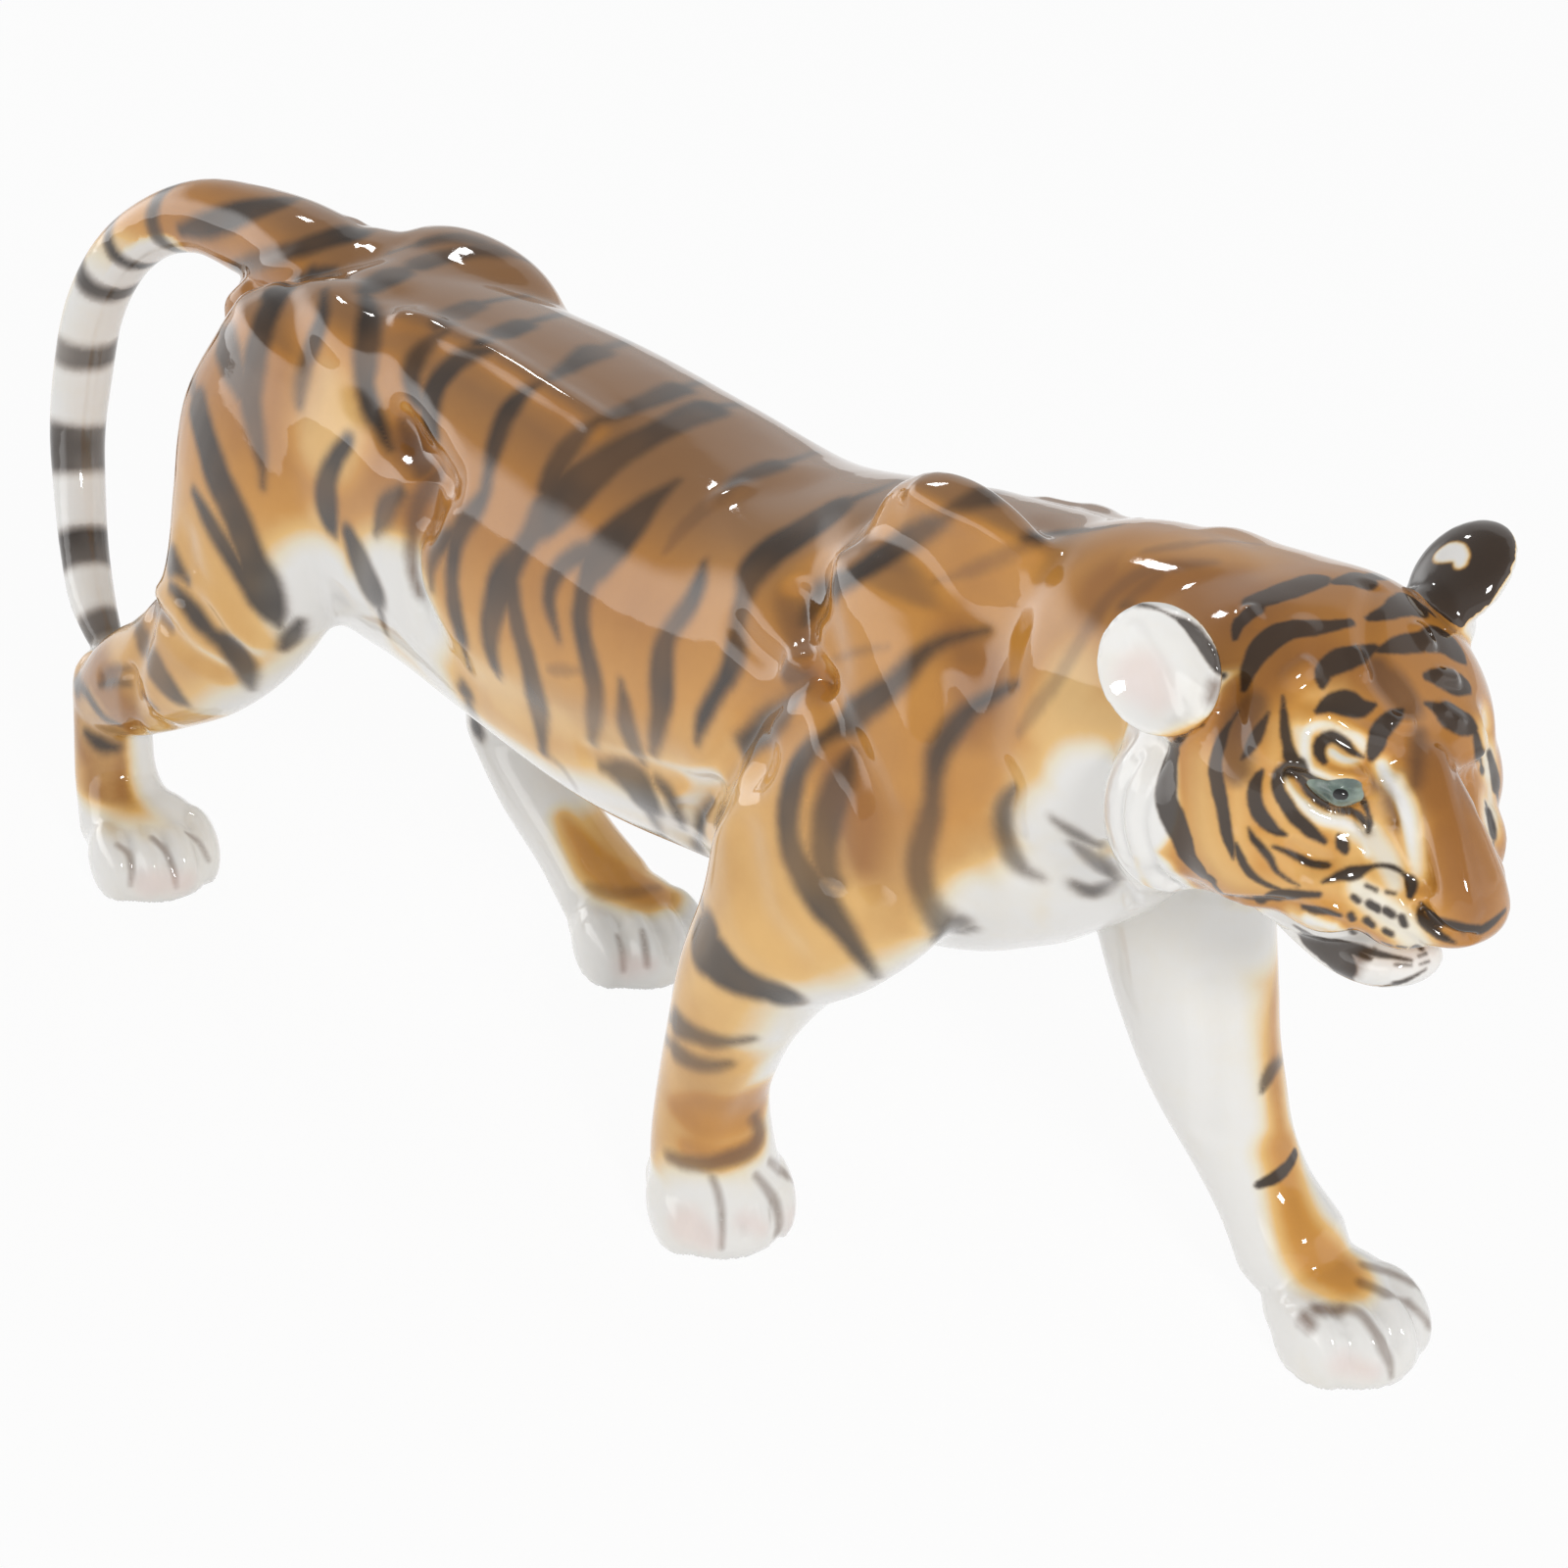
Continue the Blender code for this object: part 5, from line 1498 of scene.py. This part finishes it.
def with_tail(coat, ink, points, normals, tree):
    """The coat and the ink with the tail's dark rings, square to it, and its pale inner side."""
    row_x = points[:, 0] + CENTRE_X
    place, rings, reach = limb_places(points, PAINTED_TAIL)
    gaps = np.linalg.norm(np.diff(rings[:, :3], axis=0), axis=1)
    along = np.concatenate(([0], np.cumsum(gaps)))
    ways = np.gradient(rings[:, :3], axis=0)
    ways /= np.linalg.norm(ways, axis=1)[:, None]
    offset = points - rings[place, :3]
    run = along[place] + (offset * ways[place]).sum(axis=1)
    on_tail = (row_x < TAIL_ROOT) & (points[:, 2] > TAIL_TIP)
    on_tail &= reach < rings[place, 3] * TAIL_RADII
    for x, y, width, slant in TAIL_RINGS:
        hit = cast(tree, x, y)
        if hit is None:
            continue
        near = int(np.linalg.norm(rings[:, :3] - hit[0], axis=1).argmin())
        start = along[near] + (hit[0] - rings[near, :3]) @ ways[near]
        ring = width / 2 - np.abs(run + offset[:, 1] * slant - start)
        ink = np.where(on_tail, np.maximum(ink, ring), ink)
    towards = (np.array(TAIL_HEART) - (CENTRE_X, 0, 0) - points) * (1, 0, 1)
    towards /= np.linalg.norm(towards, axis=1)[:, None]
    inward = (normals * towards).sum(axis=1)
    lower = smoothstep(*TAIL_LOWER, points[:, 2])
    outer = TAIL_PALE_LEAST + TAIL_PALE_MORE * lower * smoothstep(*TAIL_OUTER, inward) * lower
    pale = np.maximum(smoothstep(*TAIL_INNER, inward), outer) * smoothstep(*TAIL_PALE_FROM, row_x)
    left = 1 - pale * np.maximum(lower, smoothstep(*TAIL_PALE_EDGE, pale))
    return np.where(on_tail, np.minimum(coat, left), coat), ink


def painted(skin):
    """The fields of colour on the skin, by name, as one number for each point."""
    points, normals, edges = arrays(skin)
    tree = skin_tree(points, skin)
    away = EYE - points
    away /= np.linalg.norm(away, axis=1)[:, None]
    hidden = smoothstep(*HIDDEN, (normals * away).sum(axis=1))
    middle = Matrix.Identity(4)

    def layer(strokes, matrix, legs=False, fade=FADE):
        """A layer of strokes: as traced where the camera looks, mirrored on the far side."""
        near = np.full(len(points), -fade)
        far = np.full(len(points), -fade)
        for stroke in strokes:
            runs = laid(tree, stroke)
            brushed(near, points, normals, runs, fade)
            brushed(far, points, normals, mirrored(tree, runs, matrix), fade)
            if legs:
                for source, target in LEG_PAIRS:
                    brushed(far, points, normals, carried(tree, runs, source, target), fade)
        far = np.where(hidden > 0, far * hidden - fade * (1 - hidden), -fade)
        return np.maximum(near, far)

    def both(on_body, on_head, **options):
        """A layer mirrored about the body's middle with another about the head's."""
        return np.maximum(layer(on_body, middle, **options), layer(on_head, HEAD_AXES, **options))

    head = smoothstep(*HEAD_START, head_places(points)[:, 0])
    body = 1 - head
    row_x = points[:, 0] + CENTRE_X
    height = points[:, 2]
    white = layer(BODY_WHITE, middle, fade=SOFT_FADE)
    cream = both(BODY_CREAM, FACE_CREAM, fade=SOFT_FADE)
    orange = layer(BODY_ORANGE, middle, fade=SOFT_FADE)
    bare = np.maximum(bare_share(points, normals, head), smoothstep(*WHITE_EDGE, white))
    coat = 1 - bare
    coat *= 1 - eased(*LOW_THIN, height) * body
    coat *= 1 - eased(*FORE_THIN, row_x) * body
    coat = np.minimum(coat, 1 - eased(*CREAM_THIN, cream))
    coat = np.maximum(coat, eased(*ORANGE_FULL, orange))
    coat = np.minimum(coat, 1 - eased(*PALE_THIN, layer(FACE_PALE, HEAD_AXES)))
    coat = np.minimum(coat, 1 - smoothstep(*FACE_WHITE_EDGE, layer(FACE_WHITE, HEAD_AXES)))

    ink = np.maximum(layer(BODY_INK, middle, legs=True), layer(FACE_INK, HEAD_AXES))
    coat, ink = with_ears(coat, ink, points, normals)
    spot = layer(EAR_WHITE, HEAD_AXES)
    ink = np.minimum(ink, np.where(spot > SPOT_OUTER, -spot, FADE))
    coat = np.minimum(coat, 1 - smoothstep(*SPOT_EDGE, spot))
    coat = softened(coat, edges, COAT_SOFTENING)
    coat, ink = with_tail(coat, ink, points, normals, tree)

    # Darker on the upward-facing back: partly the coat's own darker brown, partly painted shade.
    dark_back_and_shade = smoothstep(*DARK_BACK_AND_SHADE_FACING, normals[:, 2]) * smoothstep(*DARK_BACK_AND_SHADE_HEIGHT, height)
    dark_back_and_shade *= smoothstep(*DARK_BACK_AND_SHADE_START, row_x) * smoothstep(*DARK_BACK_AND_SHADE_END, row_x) * body
    return {
        "coat": coat,
        "ink": ink,
        "fine": np.maximum(head, smoothstep(*PAW_FINE, height)),
        "faint": layer(BODY_FAINT, middle),
        "toes": layer(TOE_LINES, middle),
        # Painted shade along creases and folds.
        "painted_shade": both(BODY_PAINTED_SHADE, FACE_PAINTED_SHADE),
        "dark_back_and_shade": dark_back_and_shade,
        "iris": layer(IRIS, HEAD_AXES),
        "pupil": layer(PUPIL, HEAD_AXES),
        "deep": smoothstep(*DEEP_EDGE, both(DEEP, HEAD_DEEP)),
        "pink": smoothstep(*PINK_EDGE, layer(PINK, middle)),
    }


def pieces_of(skin, fields):
    """The skin cut into three pieces that meet without a seam, each with its fields and normals."""
    points, normals, _ = arrays(skin)
    group = np.where(points[:, 0] + CENTRE_X < PARTING, 0, 1)
    group[on_face(points)] = 2
    sets = [[] for _ in PIECES]
    for face in skin.polygons:
        sets[group[face.vertices[0]]].append(tuple(face.vertices))
    made = []
    for name, faces in zip(PIECES, sets):
        used = np.unique(np.fromiter((v for face in faces for v in face), int))
        index = np.zeros(len(points), int)
        index[used] = np.arange(len(used))
        mesh = bpy.data.meshes.new(name)
        corners = [tuple(index[list(face)]) for face in faces]
        mesh.from_pydata((points[used] * MM).tolist(), [], corners)
        mesh.shade_smooth()
        mesh.normals_split_custom_set_from_vertices(normals[used].tolist())
        for key, values in fields.items():
            attribute = mesh.attributes.new(key, "FLOAT", "POINT")
            attribute.data.foreach_set("value", values[used].astype(np.float32))
        piece = bpy.data.objects.new(name, mesh)
        bpy.context.scene.collection.objects.link(piece)
        made.append(piece)
    return made
def node_tools(tree):
    """Short ways to add and join shader nodes."""

    def feed(slot, value):
        """Links a socket to the slot, or gives the slot a value of its own."""
        if isinstance(value, bpy.types.NodeSocket):
            tree.links.new(value, slot)
        else:
            slot.default_value = value

    def add(kind, **inputs):
        node = tree.nodes.new(kind)
        for key, value in inputs.items():
            feed(node.inputs[key], value)
        return node

    def maths(operation, a, b=0.0, clamp=False):
        node = tree.nodes.new("ShaderNodeMath")
        node.operation = operation
        node.use_clamp = clamp
        for slot, value in zip(node.inputs, (a, b)):
            feed(slot, value)
        return node.outputs[0]

    def step(value, low, high):
        node = tree.nodes.new("ShaderNodeMapRange")
        node.interpolation_type = "SMOOTHSTEP"
        tree.links.new(value, node.inputs["Value"])
        node.inputs["From Min"].default_value = low
        node.inputs["From Max"].default_value = high
        return node.outputs[0]

    def blend(share, first, second):
        node = tree.nodes.new("ShaderNodeMix")
        node.data_type = "RGBA"
        for i, value in ((0, share), (6, first), (7, second)):
            feed(node.inputs[i], value)
        return node.outputs[2]

    return add, maths, step, blend


def colour(rgb):
    return (*rgb, 1.0)


def grey(level):
    return (level, level, level, 1.0)


def glazed_porcelain():
    """White porcelain painted under a clear glaze."""
    material = bpy.data.materials.new("glazed_porcelain")
    material.use_nodes = True
    tree = material.node_tree
    add, maths, step, blend = node_tools(tree)
    shader = tree.nodes["Principled BSDF"]
    place = tree.nodes.new("ShaderNodeTexCoord").outputs["Object"]

    def field(name):
        node = tree.nodes.new("ShaderNodeAttribute")
        node.attribute_type = "GEOMETRY"
        node.attribute_name = name
        return node.outputs["Fac"]

    def noise(scale, detail, roughness):
        sizes = {"Scale": scale, "Detail": detail, "Roughness": roughness}
        return add("ShaderNodeTexNoise", Vector=place, **sizes).outputs["Fac"]

    def over(paint, share, strength, rgb):
        """The paint with a colour laid over it."""
        return blend(maths("MULTIPLY", share, strength), paint, colour(rgb))

    wide = noise(*WIDE_NOISE)
    brush = noise(*BRUSH_NOISE)
    speck = noise(*SPECK_NOISE)
    wander = maths("SUBTRACT", brush, 0.5)
    drift = maths("SUBTRACT", wide, 0.5)

    coat = maths("ADD", field("coat"), maths("MULTIPLY", drift, COAT_DRIFT))
    coat = maths("ADD", coat, maths("MULTIPLY", wander, COAT_WANDER), clamp=True)
    ramp = tree.nodes.new("ShaderNodeValToRGB")
    tree.links.new(coat, ramp.inputs["Fac"])
    stops = ramp.color_ramp.elements
    for stop, (spot, rgb) in zip(stops, (COAT_STOPS[0], COAT_STOPS[-1])):
        stop.position = spot
        stop.color = colour(rgb)
    for spot, rgb in COAT_STOPS[1:-1]:
        stops.new(spot).color = colour(rgb)
    plain = ramp.outputs["Color"]
    paint = over(plain, step(wide, *WASH), WASH_STRENGTH, DEEP_ORANGE)
    # Deeper orange, in one patch a painted dark reflection.
    paint = over(paint, field("deep"), DEEP_STRENGTH, DEEP_ORANGE)
    paint = blend(step(coat, *WASHED_COAT), plain, paint)
    # The darker back, partly painted shade on the top.
    paint = over(paint, field("dark_back_and_shade"), DARK_BACK_AND_SHADE_STRENGTH, DARK_BACK_AND_SHADE)
    # Dark brown lines: painted shade in creases, the faint stripes and the toe lines.
    for name, moved, edge, strength in UMBER_AND_SHADE_LINES:
        inside = maths("ADD", field(name), maths("MULTIPLY", wander, moved))
        paint = over(paint, step(inside, *edge), strength, UMBER_AND_SHADE)
    # Pink on the paws, and in the ear's bowl partly painted shade.
    paint = over(paint, field("pink"), PINK_STRENGTH, PINK_GLAZE)
    fine = field("fine")
    ink = maths("ADD", field("ink"), maths("MULTIPLY", wander, INK_WANDER))
    ink = maths("DIVIDE", ink, maths("ADD", FINE_EDGE, maths("SUBTRACT", 1.0, fine)))
    paint = over(paint, step(ink, *FRINGE_EDGE), FRINGE_STRENGTH, FRINGE)
    most = maths("SUBTRACT", MOST_WORN, maths("MULTIPLY", fine, FINE_UNWORN))
    strength = maths("SUBTRACT", INK_STRENGTH, maths("MULTIPLY", step(wide, *INK_WORN), most))
    paint = over(paint, step(ink, *INK_EDGE), strength, INK)
    iris = blend(step(brush, *IRIS_MIX), colour(IRIS_DARK), colour(IRIS_PALE))
    paint = blend(step(field("iris"), *IRIS_EDGE), paint, iris)
    paint = blend(step(field("pupil"), *PUPIL_EDGE), paint, colour(PUPIL_BLACK))
    tree.links.new(paint, shader.inputs["Base Color"])

    specks = maths("MULTIPLY", step(speck, *SPECKS), SPECK_ROUGHNESS)
    tree.links.new(maths("ADD", GLAZE_ROUGHNESS, specks), shader.inputs["Roughness"])
    shader.inputs["IOR"].default_value = GLAZE_IOR
    shader.inputs["Coat Weight"].default_value = CLEAR_COAT
    shader.inputs["Coat Roughness"].default_value = CLEAR_COAT_ROUGHNESS
    height = maths("ADD", noise(*SWELL_NOISE), maths("MULTIPLY", speck, SPECK_HEIGHT))
    bump = add("ShaderNodeBump", Strength=SWELL_STRENGTH, Distance=SWELL_DEPTH, Height=height)
    for slot in ("Normal", "Coat Normal"):
        tree.links.new(bump.outputs["Normal"], shader.inputs[slot])
    return material


def seen(tree, glossy=False):
    """1 for the camera's rays and those let through glass, and where asked for reflected ones."""
    maths = node_tools(tree)[1]
    path = tree.nodes.new("ShaderNodeLightPath").outputs
    found = maths("MAXIMUM", path["Is Camera Ray"], path["Is Transmission Ray"])
    return maths("MAXIMUM", found, path["Is Glossy Ray"]) if glossy else found


def light_sky():
    """A pale sky with soft boxes, plain white where the camera sees it."""
    world = bpy.data.worlds.new("studio")
    bpy.context.scene.world = world
    world.use_nodes = True
    tree = world.node_tree
    _, maths, step, blend = node_tools(tree)
    light = tree.nodes["Background"]
    direction = tree.nodes.new("ShaderNodeTexCoord").outputs["Generated"]
    axes = tree.nodes.new("ShaderNodeSeparateXYZ")
    tree.links.new(direction, axes.inputs[0])

    def dotted(vector, way):
        node = tree.nodes.new("ShaderNodeVectorMath")
        node.operation = "DOT_PRODUCT"
        tree.links.new(vector, node.inputs[0])
        node.inputs[1].default_value = way
        return node.outputs["Value"]

    def off_axis(way, half):
        """How far off the box's middle, as a power of its half-width in degrees."""
        share = maths("DIVIDE", dotted(direction, way), math.sin(math.radians(half)))
        return maths("POWER", maths("ABSOLUTE", share), BOX_SQUARENESS)

    sky = blend(step(axes.outputs["Z"], *SKY_RISE), grey(SIDE_LIGHT), grey(TOP_LIGHT))
    for turn, rise, half_across, half_up, strength in SOFT_BOXES:
        turn, rise = math.radians(turn), math.radians(rise)
        across = (-math.sin(turn), math.cos(turn), 0)
        up = (-math.sin(rise) * math.cos(turn), -math.sin(rise) * math.sin(turn), math.cos(rise))
        ahead = (math.cos(rise) * math.cos(turn), math.cos(rise) * math.sin(turn), math.sin(rise))
        off = maths("ADD", off_axis(across, half_across), off_axis(up, half_up))
        inside = step(off, 1 + BOX_EDGE, 1 - BOX_EDGE)
        share = maths("MULTIPLY", inside, step(dotted(direction, ahead), *BOX_FRONT))
        sky = blend(share, sky, grey(strength))
    tree.links.new(blend(seen(tree), sky, grey(1.0)), light.inputs["Color"])
    light.inputs["Strength"].default_value = 1.0


def white_paper():
    """Pale paper that also glows where the camera or a reflection sees it."""
    paper = bpy.data.materials.new("white_paper")
    paper.use_nodes = True
    tree = paper.node_tree
    maths = node_tools(tree)[1]
    shader = tree.nodes["Principled BSDF"]
    shader.inputs["Base Color"].default_value = grey(FLOOR_PALE)
    shader.inputs["Roughness"].default_value = FLOOR_ROUGHNESS
    shader.inputs["Specular IOR Level"].default_value = FLOOR_SPECULAR
    glow = tree.nodes.new("ShaderNodeEmission")
    mixed = tree.nodes.new("ShaderNodeMixShader")
    tree.links.new(maths("MULTIPLY", seen(tree, glossy=True), FLOOR_GLOW), mixed.inputs["Fac"])
    tree.links.new(shader.outputs["BSDF"], mixed.inputs[1])
    tree.links.new(glow.outputs["Emission"], mixed.inputs[2])
    tree.links.new(mixed.outputs["Shader"], tree.nodes["Material Output"].inputs["Surface"])
    return paper


def studio():
    """A white floor under the tiger, the sky's light and soft lamps."""
    scene = bpy.context.scene
    scene.view_settings.view_transform = "Standard"
    light_sky()
    plane = bmesh.new()
    bmesh.ops.create_grid(plane, x_segments=1, y_segments=1, size=FLOOR_HALF)
    mesh = bpy.data.meshes.new("floor")
    plane.to_mesh(mesh)
    plane.free()
    mesh.materials.append(white_paper())
    floor = bpy.data.objects.new("floor", mesh)
    scene.collection.objects.link(floor)

    for name, place, size, power in LAMPS:
        lamp = bpy.data.lights.new(name, "AREA")
        lamp.shape = "RECTANGLE"
        lamp.size, lamp.size_y = size
        lamp.energy = power
        holder = bpy.data.objects.new(name, lamp)
        holder.location = place
        way = Vector(LAMP_AIM) - Vector(place)
        holder.rotation_euler = way.to_track_quat("-Z", "Y").to_euler()
        scene.collection.objects.link(holder)


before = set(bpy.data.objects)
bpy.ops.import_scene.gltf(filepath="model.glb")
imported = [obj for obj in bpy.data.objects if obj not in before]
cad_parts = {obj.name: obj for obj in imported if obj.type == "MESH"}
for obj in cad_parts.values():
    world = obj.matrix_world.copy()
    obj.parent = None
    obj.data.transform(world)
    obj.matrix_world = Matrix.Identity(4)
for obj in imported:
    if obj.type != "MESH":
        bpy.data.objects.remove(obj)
cad_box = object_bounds()

EYE, RIGHT, UP, BACK = view_axes()
lens = bpy.data.cameras.new("view")
lens.sensor_width = SENSOR
lens.lens = VIEW_FOCAL / PICTURE * SENSOR
viewer = bpy.data.objects.new("view", lens)
bpy.context.scene.collection.objects.link(viewer)
pose = Matrix(np.array((RIGHT, UP, BACK)).T.tolist()).to_4x4()
pose.translation = Vector(EYE * MM)
viewer.matrix_world = pose
bpy.context.scene.camera = viewer

HEAD_AXES = head_axes()
LEG_PAIRS = (
    (RIGHT_FORE_LEG, LEFT_FORE_LEG),
    (RIGHT_THIGH + RIGHT_HIND_FOOT[1:], LEFT_THIGH + LEFT_HIND_FOOT[1:]),
)

skin = plain_skin()
creased(skin, BODY_CREASES, Matrix.Identity(4))
points, _, edges = arrays(skin)
placed(skin, softened(points, edges, CREASE_SOFTENING))
refined_face(skin)
creased(skin, FACE_CREASES, HEAD_AXES)

points, _, _ = arrays(skin)
points[:, 2] = np.where(points[:, 2] < SOLE_TRIM, 0, points[:, 2])
low = np.array(cad_box[0]) / MM
high = np.array(cad_box[1]) / MM
points = np.clip(points, low, high)
placed(skin, points)
glaze = glazed_porcelain()
for piece in pieces_of(skin, painted(skin)):
    piece.data.materials.append(glaze)
    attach(piece, "root")
    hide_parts(NODE)
bpy.data.meshes.remove(skin)
studio()
